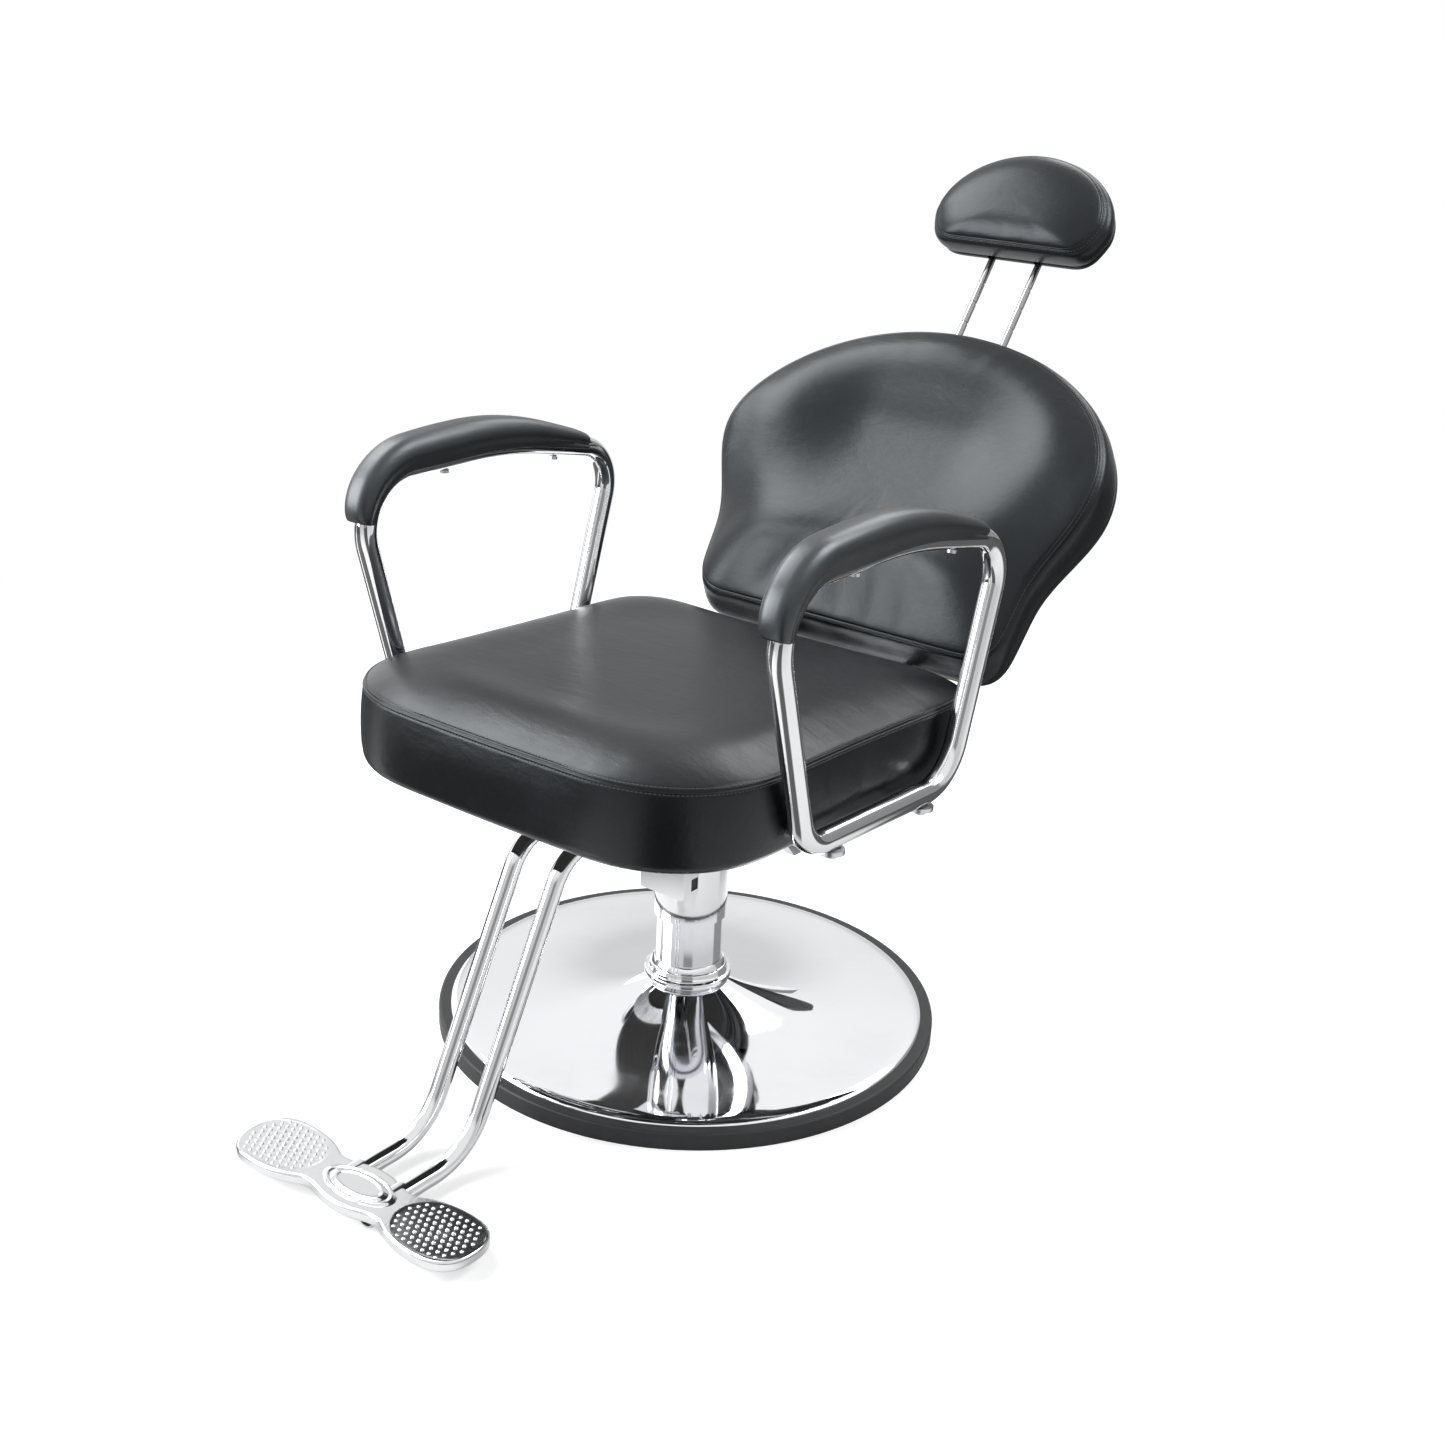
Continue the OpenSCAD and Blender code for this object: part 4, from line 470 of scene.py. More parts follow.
def make_finishes(s):
    """One material for each slot of the record, and the thread and the pads' skin."""
    FINISHES.update(
        # Painted brightness: the dome's chrome is a lighter copy of the tubes' chrome.
        dome_chrome=chrome_finish("spun_dome_chrome", s.dome_chrome, wave=0.0022, gloss=0.03),
        rim_rubber=rubber_finish("rim_rubber", s.rubber),
        cast_iron=iron_finish(),
        # Painted brightness: the column's chrome is the tubes' chrome made a tenth lighter.
        bright_chrome=chrome_finish("column_chrome", scaled(s.chrome, 1.1)),
        tube_chrome=chrome_finish("tube_chrome", s.chrome, gloss=0.03),
        # Painted shade: the posts' chrome is the tubes' chrome at half its tint, a darker copy of the same
        # plating.
        post_chrome=chrome_finish("post_chrome", scaled(s.chrome, 0.5), gloss=0.06),
        machined_steel=steel_finish("machined_steel", (0.55, 0.56, 0.58)),
        ball_steel=steel_finish("ball_steel", (0.66, 0.67, 0.69), 0.08, (30, 30, 30)),
        nylon=plastic_finish("natural_nylon", (0.62, 0.59, 0.50), 0.35),
        seal_rubber=rubber_finish("seal_rubber", (0.012, 0.012, 0.012)),
        zinc_fasteners=steel_finish("zinc_plate", (0.58, 0.59, 0.60), 0.28, (60, 60, 60)),
        black_plastic=plastic_finish("black_plastic", (0.011, 0.011, 0.012)),
        frame_paint=paint_finish("frame_paint", s.paint),
        plated_bar=steel_finish("plated_bar", (0.62, 0.625, 0.64), 0.2, (400, 8, 8)),
        pedal_steel=chrome_finish("pedal_chrome", s.chrome, smear=0.1),
        pedal_rubber=rubber_finish("pedal_rubber", (0.014, 0.014, 0.015)),
        board_wood=plywood_finish(s.wood),
        black_vinyl=vinyl_finish("black_vinyl", s),
        cover_vinyl=vinyl_finish("rear_vinyl", s, 0.38, 1.2),
        pad_skin=vinyl_finish("moulded_pad_skin", s, 0.32, 0.5, 1.0),
        cast_aluminium=aluminium_finish("buffed_aluminium", s.aluminium),
        thread=thread_finish(),
    )


# ---------------------------------------------------------------- mesh helpers


def even(points, count):
    """A closed line cut into equal steps."""
    p = np.asarray(points, float)
    q = np.vstack([p, p[:1]])
    run = np.r_[0, np.cumsum(np.linalg.norm(np.diff(q, axis=0), axis=1))]
    t = np.linspace(0, run[-1], count, endpoint=False)
    return np.column_stack([np.interp(t, run, q[:, k]) for k in range(p.shape[1])])


def eased(points, passes):
    """A closed line with its corners softened a little."""
    p = np.array(points)
    for _ in range(passes):
        p = (np.roll(p, 1, 0) + 2 * p + np.roll(p, -1, 0)) / 4
    return p


def arc(centre, radius, start, stop, count):
    """Points on a circle between two angles in degrees."""
    a = np.radians(np.linspace(start, stop, count))
    return [(centre[0] + radius * math.cos(t), centre[1] + radius * math.sin(t)) for t in a]


def inward(outline, distance):
    """A closed flat line, moved inwards; it runs counter-clockwise."""
    tangent = np.roll(outline, -1, 0) - np.roll(outline, 1, 0)
    tangent /= np.linalg.norm(tangent, axis=1)[:, None]
    return outline + np.column_stack([-tangent[:, 1], tangent[:, 0]]) * distance


def smooth_step(t):
    """0 at 0 and 1 at 1, level at both ends."""
    t = np.clip(t, 0, 1)
    return t * t * (3 - 2 * t)


def quarter(count):
    """Angles of a quarter turn."""
    return np.radians(np.linspace(0, 90, count))


def grid_faces(rows, columns, closed):
    """Quads over rows of points; closed joins each row's ends."""
    wide = columns if closed else columns - 1
    faces = []
    for k in range(rows - 1):
        here, there = k * columns, (k + 1) * columns
        for i in range(wide):
            j = (i + 1) % columns
            faces.append((here + i, here + j, there + j, there + i))
    return faces


class Skin:
    """A closed surface through rings of points, with a pole at each end."""

    def __init__(self, rings):
        self.rings = np.array(rings, float)

    def normals(self):
        r = self.rings
        along = np.roll(r, -1, 1) - np.roll(r, 1, 1)
        across = np.empty_like(r)
        across[1:-1] = r[2:] - r[:-2]
        across[0], across[-1] = r[1] - r[0], r[-1] - r[-2]
        n = np.cross(along, across)
        return n / np.maximum(np.linalg.norm(n, axis=2), 1e-9)[..., None]

    def push(self, amount):
        """Moves each point outwards by its amount."""
        self.rings += self.normals() * amount[..., None]

    def distances(self, seam):
        """Distance of each point from the seam ring, negative below it."""
        step = np.linalg.norm(np.diff(self.rings, axis=0), axis=2)
        run = np.vstack([np.zeros((1, step.shape[1])), np.cumsum(step, axis=0)])
        return run - run[seam]

    def mesh(self):
        m, n, _ = self.rings.shape
        points = np.vstack([self.rings.reshape(-1, 3), self.rings[0].mean(0), self.rings[-1].mean(0)])
        last = (m - 1) * n
        faces = grid_faces(m, n, True)
        faces += [(m * n, (i + 1) % n, i) for i in range(n)]
        faces += [(m * n + 1, last + i, last + (i + 1) % n) for i in range(n)]
        return points, faces


def linked(name, data):
    """A new object in the scene."""
    made = bpy.data.objects.new(name, data)
    bpy.context.scene.collection.objects.link(made)
    return made


def discard(obj):
    """Removes a mesh object, and its mesh if nothing else has it."""
    mesh = obj.data
    bpy.data.objects.remove(obj)
    if mesh.users == 0:
        bpy.data.meshes.remove(mesh)


def new_object(name, points, faces, edges=()):
    """A mesh object in the scene."""
    mesh = bpy.data.meshes.new(name)
    mesh.from_pydata([tuple(p) for p in points], list(edges), list(faces))
    return linked(name, mesh)


def tidy_mesh(obj, join=1e-6):
    """Doubles merged and faces turned outwards."""
    b = bmesh.new()
    b.from_mesh(obj.data)
    bmesh.ops.remove_doubles(b, verts=b.verts, dist=join)
    bmesh.ops.recalc_face_normals(b, faces=b.faces)
    b.to_mesh(obj.data)
    b.free()


def shade(obj, angle=None):
    """Smooth all over, or smooth up to an angle between faces."""
    obj.data.polygons.foreach_set("use_smooth", [True] * len(obj.data.polygons))
    if angle is not None:
        b = bmesh.new()
        b.from_mesh(obj.data)
        for e in b.edges:
            if len(e.link_faces) == 2 and e.calc_face_angle(0) > angle:
                e.smooth = False
        b.to_mesh(obj.data)
        b.free()
    obj.data.update()


def place(obj, body, slot, replaces=(), finish=None):
    """Gives a piece its finish, its body and the nodes it stands for."""
    obj.data.materials.clear()
    obj.data.materials.append(finish or FINISHES[slot])
    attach(obj, body)
    if replaces:
        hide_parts(*replaces)
    return obj


def piece(name, points, faces, matrix=None, angle=None):
    """A finished mesh in the chair's frame, moved there by a matrix if it has one."""
    made = new_object(name, points, faces)
    if matrix is not None:
        made.data.transform(matrix)
    tidy_mesh(made)
    shade(made, angle)
    return made


def baked(obj, name):
    """The evaluated object as a plain mesh object, in the old one's stead."""
    graph = bpy.context.evaluated_depsgraph_get()
    mesh = bpy.data.meshes.new_from_object(obj.evaluated_get(graph), depsgraph=graph)
    made = linked(name, mesh)
    discard(obj)
    return made


def box_object(low, high):
    """A box between two corners, to cut with."""
    points = [(x, y, z) for x in (low[0], high[0]) for y in (low[1], high[1]) for z in (low[2], high[2])]
    faces = [(0, 1, 3, 2), (4, 6, 7, 5), (0, 4, 5, 1), (2, 3, 7, 6), (0, 2, 6, 4), (1, 5, 7, 3)]
    return new_object("cutter", points, faces)


def cut_away(obj, cutters, name):
    """The object less its cutters, as a plain mesh."""
    for c in cutters:
        tidy_mesh(c)
        m = obj.modifiers.new("cut", "BOOLEAN")
        m.operation, m.object, m.solver = "DIFFERENCE", c, "EXACT"
    made = baked(obj, name)
    for c in cutters:
        discard(c)
    return made


def lathe(profile, steps):
    """A closed section spun round the Z axis."""
    p = np.asarray(profile, float)
    n = len(p)
    a = np.linspace(0, 2 * math.pi, steps, endpoint=False)[:, None]
    rows = [p[:, 0] * np.cos(a), p[:, 0] * np.sin(a), np.tile(p[:, 1], (steps, 1))]
    faces = []
    for i in range(steps):
        here, there = i * n, (i + 1) % steps * n
        faces += [(here + k, there + k, there + (k + 1) % n, here + (k + 1) % n) for k in range(n)]
    return np.stack(rows, axis=2).reshape(-1, 3), faces


BEND_STEP = 3.0  # degrees between two rings of a bend
LONG_BEND = 0.2  # a bend of a larger radius has more rings


class Bend:
    """The bend at one corner of a path in a plane."""

    def __init__(self, corners, i, radius):
        here, after = corners[i], corners[(i + 1) % len(corners)]
        self.way = a = (here - corners[i - 1]).normalized()
        b = (after - here).normalized()
        self.turn = math.acos(max(-1, min(1, a.dot(b))))
        self.side = 1 if a.x * b.y - a.y * b.x > 0 else -1
        self.start = here - a * radius * math.tan(self.turn / 2)
        self.end = here + b * radius * math.tan(self.turn / 2)
        self.centre = self.start + Vector((-a.y, a.x)) * self.side * radius


def bent_path(corners, bends, closed):
    """Points and directions along straight runs and true bends in one plane."""
    c = [Vector(p) for p in corners]
    points, ways = [], []
    for i, radius in enumerate(bends):
        if not closed and i in (0, len(c) - 1):
            way = c[1] - c[0] if i == 0 else c[-1] - c[-2]
            points.append(c[i])
            ways.append(way.normalized())
            continue
        bend = Bend(c, i, radius)
        a = bend.way
        count = max(4, int(math.degrees(bend.turn) / BEND_STEP * max(1, radius / LONG_BEND) ** 0.5))
        for k in range(count + 1):
            t = bend.side * bend.turn * k / count
            way = Vector((a.x * math.cos(t) - a.y * math.sin(t), a.x * math.sin(t) + a.y * math.cos(t)))
            points.append(bend.centre + Vector((way.y, -way.x)) * bend.side * radius)
            ways.append(way)
    return points, ways


def tube(points, ways, outer, closed, inner=None, sides=48):
    """A round tube in the YZ plane, hollow at its open ends."""
    turns = np.linspace(0, 2 * math.pi, sides, endpoint=False)

    def ring(p, way, radius):
        up = Vector((-way.y, way.x))
        ends = [(radius * math.cos(t), math.sin(t)) for t in turns]
        return [(x, p.x + up.x * radius * rise, p.y + up.y * radius * rise) for x, rise in ends]

    stations = list(zip(points, ways))
    rows = [ring(p, way, outer) for p, way in stations]
    if not closed:
        rows += [ring(p, way, inner) for p, way in stations[::-1]]
    last = (len(rows) - 1) * sides
    faces = grid_faces(len(rows), sides, True)
    faces += [(last + i, last + (i + 1) % sides, (i + 1) % sides, i) for i in range(sides)]
    return np.array(rows).reshape(-1, 3), faces


# ---------------------------------------------------------------- soft goods

CLOTH_FRAMES = 20
# reach of a pinned point in voxels, and of the weaker hold round it
PIN_REACH, HOLD_REACH, HOLD_WEIGHT = 1.2, 4, 0.35
# how the skin takes up the cloth's swelling
NEIGHBOURS, SMOOTH_PASSES = 6, 6


def search_tree(points):
    """Finds the nearest of some points."""
    tree = kdtree.KDTree(len(points))
    for i, p in enumerate(points):
        tree.insert(p, i)
    tree.balance()
    return tree


def swell(skin, pinned, voxel, cap, pressure, grow):
    """Cloth under air pressure, held where it is pinned; the skin takes up its swelling, up to a cap."""
    scene = bpy.context.scene
    points, faces = skin.mesh()
    rough = new_object("swell_form", points, faces)
    tidy_mesh(rough)
    remesh = rough.modifiers.new("voxels", "REMESH")
    remesh.mode = "VOXEL"
    remesh.voxel_size = voxel
    form = baked(rough, "swell_cloth")
    start = np.array([v.co for v in form.data.vertices])
    pins = search_tree(pinned)
    group = form.vertex_groups.new(name="held")
    for i, p in enumerate(start):
        far = pins.find(p)[2]
        weight = max(0.0, HOLD_WEIGHT * (1 - far / (voxel * HOLD_REACH)))
        if far < voxel * PIN_REACH:
            weight = 1.0
        if weight > 0:
            group.add([i], weight, "REPLACE")
    cloth = form.modifiers.new("cloth", "CLOTH")
    c = cloth.settings
    c.quality = 4
    c.mass = 0.25
    c.tension_stiffness = c.compression_stiffness = 12
    c.shear_stiffness = 6
    c.bending_stiffness = 1.5
    c.use_pressure = True
    c.uniform_pressure_force = pressure
    c.vertex_group_mass = "held"
    c.shrink_min = -grow
    c.effector_weights.gravity = 0
    cloth.collision_settings.use_collision = False
    cloth.collision_settings.use_self_collision = False
    cloth.point_cache.frame_start, cloth.point_cache.frame_end = 1, CLOTH_FRAMES
    for number in range(1, CLOTH_FRAMES + 1):
        scene.frame_set(number)
    graph = bpy.context.evaluated_depsgraph_get()
    done = form.evaluated_get(graph).to_mesh()
    moved = np.array([v.co for v in done.vertices]) - start
    form.evaluated_get(graph).to_mesh_clear()
    reach = np.linalg.norm(moved, axis=1)
    moved *= (np.minimum(reach, cap) / np.maximum(reach, 1e-9))[:, None]
    near = search_tree(start)
    flat = skin.rings.reshape(-1, 3)
    shift = np.zeros_like(flat)
    for i, p in enumerate(flat):
        hits = near.find_n(p, NEIGHBOURS)
        w = np.array([1 / (h[2] + voxel * 0.3) for h in hits])
        shift[i] = (moved[[h[1] for h in hits]] * w[:, None]).sum(0) / w.sum()
    shift = shift.reshape(skin.rings.shape)
    for _ in range(SMOOTH_PASSES):
        shift = (np.roll(shift, 1, 1) + 2 * shift + np.roll(shift, -1, 1)) / 4
        shift[1:-1] = (shift[:-2] + 2 * shift[1:-1] + shift[2:]) / 4
    skin.rings += shift
    discard(form)
    scene.frame_set(1)


def seam_relief(distance, row_gap, depth):
    """Height of the vinyl beside a seam: a pinched line and a padded lip up to each stitched row."""
    d = np.abs(distance)
    pinch = -depth * 1.3 * np.exp(-((d / 0.0010) ** 2))
    lip = depth * 0.75 * np.exp(-(((d - row_gap * 0.52) / 0.0013) ** 2))
    dip = -depth * 0.55 * np.exp(-(((d - row_gap) / 0.0009) ** 2))
    return pinch + lip + dip


def open_tree(name, *sizes):
    """A geometry tree with named inputs: its kit, its geometry, each size and its finish."""
    group = bpy.data.node_groups.new(name, "GeometryNodeTree")
    inputs = [("Geometry", "Geometry"), *((size, "Float") for size in sizes), ("Finish", "Material")]
    for label, kind in inputs:
        group.interface.new_socket(name=label, in_out="INPUT", socket_type=f"NodeSocket{kind}")
    group.interface.new_socket(name="Geometry", in_out="OUTPUT", socket_type="NodeSocketGeometry")
    kit = Kit(group)
    source = kit.node("NodeGroupInput")
    return kit, source, *(kit.part(source, label) for label, _ in inputs[1:])


def close_tree(kit, copies, finish):
    """Makes the copies real, gives them their finish and sends them out."""
    real = kit.node("GeometryNodeRealizeInstances", None, {"Geometry": copies})
    painted = kit.node("GeometryNodeSetMaterial", None, {"Geometry": real, "Material": finish})
    kit.node("NodeGroupOutput", None, {"Geometry": painted})
    return kit.tree


def stitch_tree():
    """Geometry nodes: a short thread at each step along every line."""
    kit, lines, pitch, size, thread, finish = open_tree("stitch_rows", "Pitch", "Length", "Thread")
    curve = kit.node("GeometryNodeMeshToCurve", None, {"Mesh": lines})
    spacing = {"Curve": curve, "Length": pitch}
    points = kit.node("GeometryNodeCurveToPoints", {"mode": "LENGTH"}, spacing)
    tangent = {"Vector": kit.part(points, "Tangent")}
    turn = kit.node("FunctionNodeAlignRotationToVector", {"axis": "Z"}, tangent)
    bar = kit.node("GeometryNodeMeshCylinder", None, {"Vertices": 6, "Radius": thread, "Depth": size})
    copies = {"Points": points, "Instance": bar, "Rotation": turn}
    return close_tree(kit, kit.node("GeometryNodeInstanceOnPoints", None, copies), finish)


def run_nodes(name, points, edges, group, **values):
    """Runs a geometry node tree on lines or points and keeps its result as a mesh."""
    source = new_object(name + "_source", points, (), edges)
    nodes = source.modifiers.new("nodes", "NODES")
    nodes.node_group = group
    for item in group.interface.items_tree:
        if item.in_out == "INPUT" and item.name in values:
            nodes[item.identifier] = values[item.name]
    return baked(source, name)


def stitching(name, rows, settings, body):
    """All the stitched rows of one cushion."""
    points, edges = [], []
    for row in rows:
        first, count = len(points), len(row)
        points += [tuple(p) for p in row]
        edges += [(first + i, first + (i + 1) % count) for i in range(count)]
    sizes = {"Pitch": settings.pitch, "Length": settings.stitch, "Thread": settings.thread}
    made = run_nodes(name, points, edges, stitch_tree(), **sizes, Finish=FINISHES["thread"])
    shade(made, 0.9)
    place(made, body, "black_vinyl", finish=FINISHES["thread"])


def row_at(skin, seam, offset, lift=0.0001):
    """The line on a skin at a distance from its seam ring."""
    d = skin.distances(seam)
    n = skin.normals()
    line = []
    for i in range(skin.rings.shape[1]):
        k = int(np.argmin(np.abs(d[:, i] - offset)))
        line.append(skin.rings[k, i] + n[k, i] * lift)
    return eased(np.array(line), 3)


def in_frame(matrix, points):
    """Points moved by a matrix."""
    m = np.array(matrix)
    return np.asarray(points) @ m[:3, :3].T + m[:3, 3]


def pinned_points(skin, seam, held):
    """What stays put as a cushion swells: its seam and the rings against its board."""
    return list(skin.rings[seam][::2]) + [p for ring in skin.rings[:held] for p in ring[::3]]


def upholster(name, body, replaced, matrix, skin, seam, stitch, gap, depth, sides=(-1,)):
    """The seam's relief and a stitched row at a gap on its sides; gives the cushion's piece."""
    rows = [in_frame(matrix, row_at(skin, seam, side * gap)) for side in sides]
    skin.push(seam_relief(skin.distances(seam), gap, depth))
    points, faces = skin.mesh()
    made = piece(f"{name}_upholstery", points, faces, matrix)
    cushion = place(made, body, "black_vinyl", (replaced,))
    stitching(f"{name}_stitching", rows, stitch, body)
    return cushion


# ---------------------------------------------------------------- seat


def seat_outline(s):
    """The cushion's plan, with wide front corners and a slight waist."""
    half, middle = s.width / 2, (s.rear - s.front) / 2 + 0.02
    f, b, rf, rb = s.front, s.rear, s.front_radius, s.rear_radius
    side, waist, rear = half - rf, half - 0.004, half - rb - 0.003
    line = arc((-side, -f + rf), rf, 180, 270, 24) + [(0, -f - 0.002)]
    line += arc((side, -f + rf), rf, 270, 360, 24) + [(waist, middle)]
    line += arc((rear, b - rb), rb, 0, 90, 16) + [(0, b)] + arc((-rear, b - rb), rb, 90, 180, 16)
    line += [(-waist, middle)]
    return eased(even(line, 400), 40)


# distances from a seam at which the vinyl beside it has a ring, and those farther in
SEAM_STEPS = (0.0007, 0.0014, 0.0021, 0.0029, 0.0038, 0.0047, 0.0058, 0.0075, 0.010, 0.013, 0.017, 0.022)
SEAT_STEPS = (0.028, 0.036, 0.046, 0.058, 0.072, 0.09, 0.11, 0.132, 0.156, 0.18, 0.205, 0.228, 0.246)
BACK_STEPS = (0.028, 0.035, 0.043, 0.052, 0.062, 0.074, 0.087, 0.101, 0.116, 0.132, 0.148, 0.164, 0.18, 0.195)
HEAD_STEPS = (0.021, 0.026, 0.032, 0.039, 0.047, 0.056, 0.066, 0.076, 0.085)


def build_seat(s, stitch):
    """Boxed cushion on its board, crowned and with a dip where the sitter sits."""
    outline = seat_outline(s)
    centre = np.array([0, (s.rear - s.front) / 2])
    low, seam_w = s.base_height, s.base_height + s.boxing
    wrap, hem, bulge = 0.017, 0.0005, 0.0022
    board = inward(outline, s.board_inset - 0.0008)
    rings = [(centre + (board - centre) * rho, low) for rho in (0.4, 0.75, 0.93, 0.985, 1.0)]
    rings += [(board, w) for w in (low - 0.001, low * 0.5, hem + 0.001, hem)]
    for a in quarter(10):
        rings.append((inward(outline, wrap * (1 - math.sin(a))), hem + wrap * (1 - math.cos(a))))
    heights = [*np.linspace(hem + 0.023, seam_w - 0.026, 9), *(seam_w - d for d in SEAM_STEPS[::-1])]
    for w in heights:
        t = (w - low) / s.boxing
        rings.append((inward(outline, -bulge * math.sin(math.pi * min(1, max(0, t)))), w))
    seam, reach = len(rings), 0.262
    for d in (0.0, *SEAM_STEPS, *SEAT_STEPS):
        rho = 1 - d / reach
        p = centre + (outline - centre) * rho
        rise = s.crown * (1 - rho**7) ** 0.78
        across, along = np.abs(p[:, 0]) / (s.width / 2), (p[:, 1] - centre[1] - 0.015) / 0.255
        dish = s.hollow * (1 - smooth_step((np.hypot(across**1.6, along**2) - 0.38) / 0.42))
        rings.append((p, seam_w + rise - dish))
    skin = Skin([np.column_stack([p, np.broadcast_to(w, len(p))]) for p, w in rings])
    swell(skin, pinned_points(skin, seam, 12), 0.007, 0.006, pressure=3.0, grow=0.003)
    cushion = upholster(
        "seat", "seat_unit", "seat_cushion", SEAT_FRAME, skin, seam, stitch, stitch.row_gap, 0.0011, (-1, 1)
    )


# ---------------------------------------------------------------- wrapped boards and shells

CLOSE_ROW = 0.75  # the back's and headrest's rows stand closer to their seams than the seat's
GLUE_LINE = 0.0003  # between a board and the shell behind it
WRAP_ROLL = 0.002  # how far the wrapped vinyl rolls in at a board's rear edge
POST_SPREAD = 0.034  # a headrest post's distance from the middle
BRACKET_SPREAD = 0.098  # a hinge bracket's distance from the middle


def level_ring(p, y, low):
    """An outline stood upright at one depth, from a height on the back's line."""
    return np.column_stack([p[:, 0], np.full(len(p), y), low + p[:, 1]])


def wrapped_board(ring, inner, edge, wrap, rear, hem):
    """Rings over a board's face, down its edge and round the vinyl that wraps it."""
    rings = [ring(grown, rear) for grown in (*inner, edge)]
    rings += [ring(edge, y) for y in (rear + 0.001, (rear + hem) / 2, hem - 0.001, hem)]
    for a in np.linspace(0.2, 1, 5) * math.pi / 2:
        rings.append(ring(edge + wrap * math.sin(a), hem - WRAP_ROLL * (1 - math.cos(a))))
    return rings


def rolled_shell(name, ring, start, thick, under, lip, roll, spread, steps, over, openings):
    """A rear panel with a rolled edge and openings cut from its underside."""
    rings = [ring(grown, start) for grown in under] + [ring(grown, start + y) for grown, y in lip]
    widest = lip[-1][0]
    for a in quarter(steps):
        grown = widest - spread * roll * (1 - math.cos(a))
        rings.append(ring(grown, start + thick - roll + roll * math.sin(a)))
    rings += [ring(grown, start + thick) for grown in over]
    points, faces = Skin(rings[::-1]).mesh()
    form = new_object(f"{name}_form", points, faces)
    tidy_mesh(form)
    cutters = []
    for middle, half, depth, low, high in openings:
        near, far = (middle - half, start - 0.002, low), (middle + half, start + depth, high)
        cutters.append(box_object(near, far))
    shell = cut_away(form, cutters, name)
    shell.data.transform(BACK_FRAME)
    shade(shell, 0.7)
    return shell


# ---------------------------------------------------------------- back

BACK_GIRTH = 0.230  # mean half size of the back's outline, by which it grows


def back_half(s, z):
    """Half width of the back at a height above its lower seam."""
    waist, wide, waist_z = s.waist / 2, s.width / 2, 0.085
    if z < waist_z:
        return waist - 0.005 * (waist_z - z) / waist_z
    if z < s.shoulder:
        return waist + (wide - waist) * float(smooth_step((z - waist_z) / (s.shoulder - waist_z)))
    return wide * math.sqrt(max(0, 1 - ((z - s.shoulder) / (s.height - s.shoulder)) ** 2))


def back_outline(s):
    """The back from the front: a narrow waist under wide round shoulders."""
    corner, wide, tall = 0.034, s.width / 2, s.height - s.shoulder
    low = back_half(s, corner)
    side = arc((low - corner, corner), corner, 270, 350, 12)
    side += [(back_half(s, z), z) for z in np.linspace(0.055, s.shoulder - 0.01, 30)]
    turns = np.radians(np.linspace(0, 88, 45))
    side += [(wide * math.cos(a), s.shoulder + tall * math.sin(a)) for a in turns]
    line = side + [(0, s.height)] + [(-x, z) for x, z in side[::-1]] + [(0, 0)]
    return eased(even(line, 440), 24)


def back_bulge(s, x, z, rho):
    """Forward bulge of the back's face: lumbar swell, a shell-shaped hollow above it, and crown."""
    edge = (1 - rho**5) ** 0.75
    across = np.abs(x) / (s.width / 2)
    lumbar = 0.015 * np.exp(-(((z - 0.095) / 0.062) ** 2))
    hollow = 0.021 * np.exp(-(((z - 0.275) / 0.085) ** 2)) * (1 - smooth_step((across - 0.25) / 0.55))
    return edge * (0.017 + lumbar - hollow)


def drooped(s, p):
    """The wrapped lower edge, which hangs below the front seam."""
    return np.column_stack([p[:, 0], p[:, 1] - s.droop * np.exp(-((p[:, 1] / 0.055) ** 2))])


def wing_reach(s, x, z):
    """Forward reach of the wings, greatest at the shoulders."""
    return s.wing * (x / (s.width / 2)) ** 2 * np.exp(-(((z - s.shoulder) / 0.105) ** 2))


def build_back(s, stitch):
    """The cushion; its board's edge is wrapped, and below the front seam the wrap hangs lower."""
    outline = back_outline(s)
    centre = np.array([0, 0.195])
    seam_y = -s.seam_depth
    rear = seam_y + s.foam

    def ring(grown, y, rho=1.0, face=False):
        p = centre + (outline - centre) * (1 + grown / BACK_GIRTH) * rho
        p[:, 1] += 0.004 * rho**6 * np.exp(-((p[:, 1] / 0.06) ** 2))
        bulge = back_bulge(s, p[:, 0], p[:, 1], rho) if face else 0
        return level_ring(p, y - wing_reach(s, p[:, 0], p[:, 1]) - bulge, s.seam_low)

    def flat(grown, y):
        p = drooped(s, centre + (outline - centre) * (1 + grown / BACK_GIRTH))
        return level_ring(p, y, s.seam_low)

    hem = rear + s.board
    rings = wrapped_board(flat, (-0.15, -0.07, -0.02, -0.008), -0.0048, 0.0078, rear, hem)
    depth = hem - seam_y
    for t in np.linspace(0.92, 0.12, 12):
        grown = (0.003 + 0.003 * math.sin(math.pi * (1 - t))) * smooth_step(t / 0.25)
        y = seam_y + depth * t
        leaned, upright = ring(grown, y), flat(grown, y)
        k = smooth_step((0.95 - t) / 0.75)
        rings.append(upright * (1 - k) + leaned * k)
    rings += [ring(0.0006 * d / 0.0045, seam_y + d) for d in SEAM_STEPS[:6][::-1]]
    seam, reach = len(rings), 0.208
    rings += [ring(0, seam_y, 1 - d / reach, True) for d in (0.0, *SEAM_STEPS, *BACK_STEPS)]
    skin = Skin(rings)
    swell(skin, pinned_points(skin, seam, 14), 0.007, 0.006, pressure=3.0, grow=0.004)
    cushion = upholster(
        "back", "back", "back_cushion", BACK_FRAME, skin, seam, stitch, stitch.row_gap * CLOSE_ROW, 0.0013
    )
    build_rear_shell(s, flat, hem + GLUE_LINE)


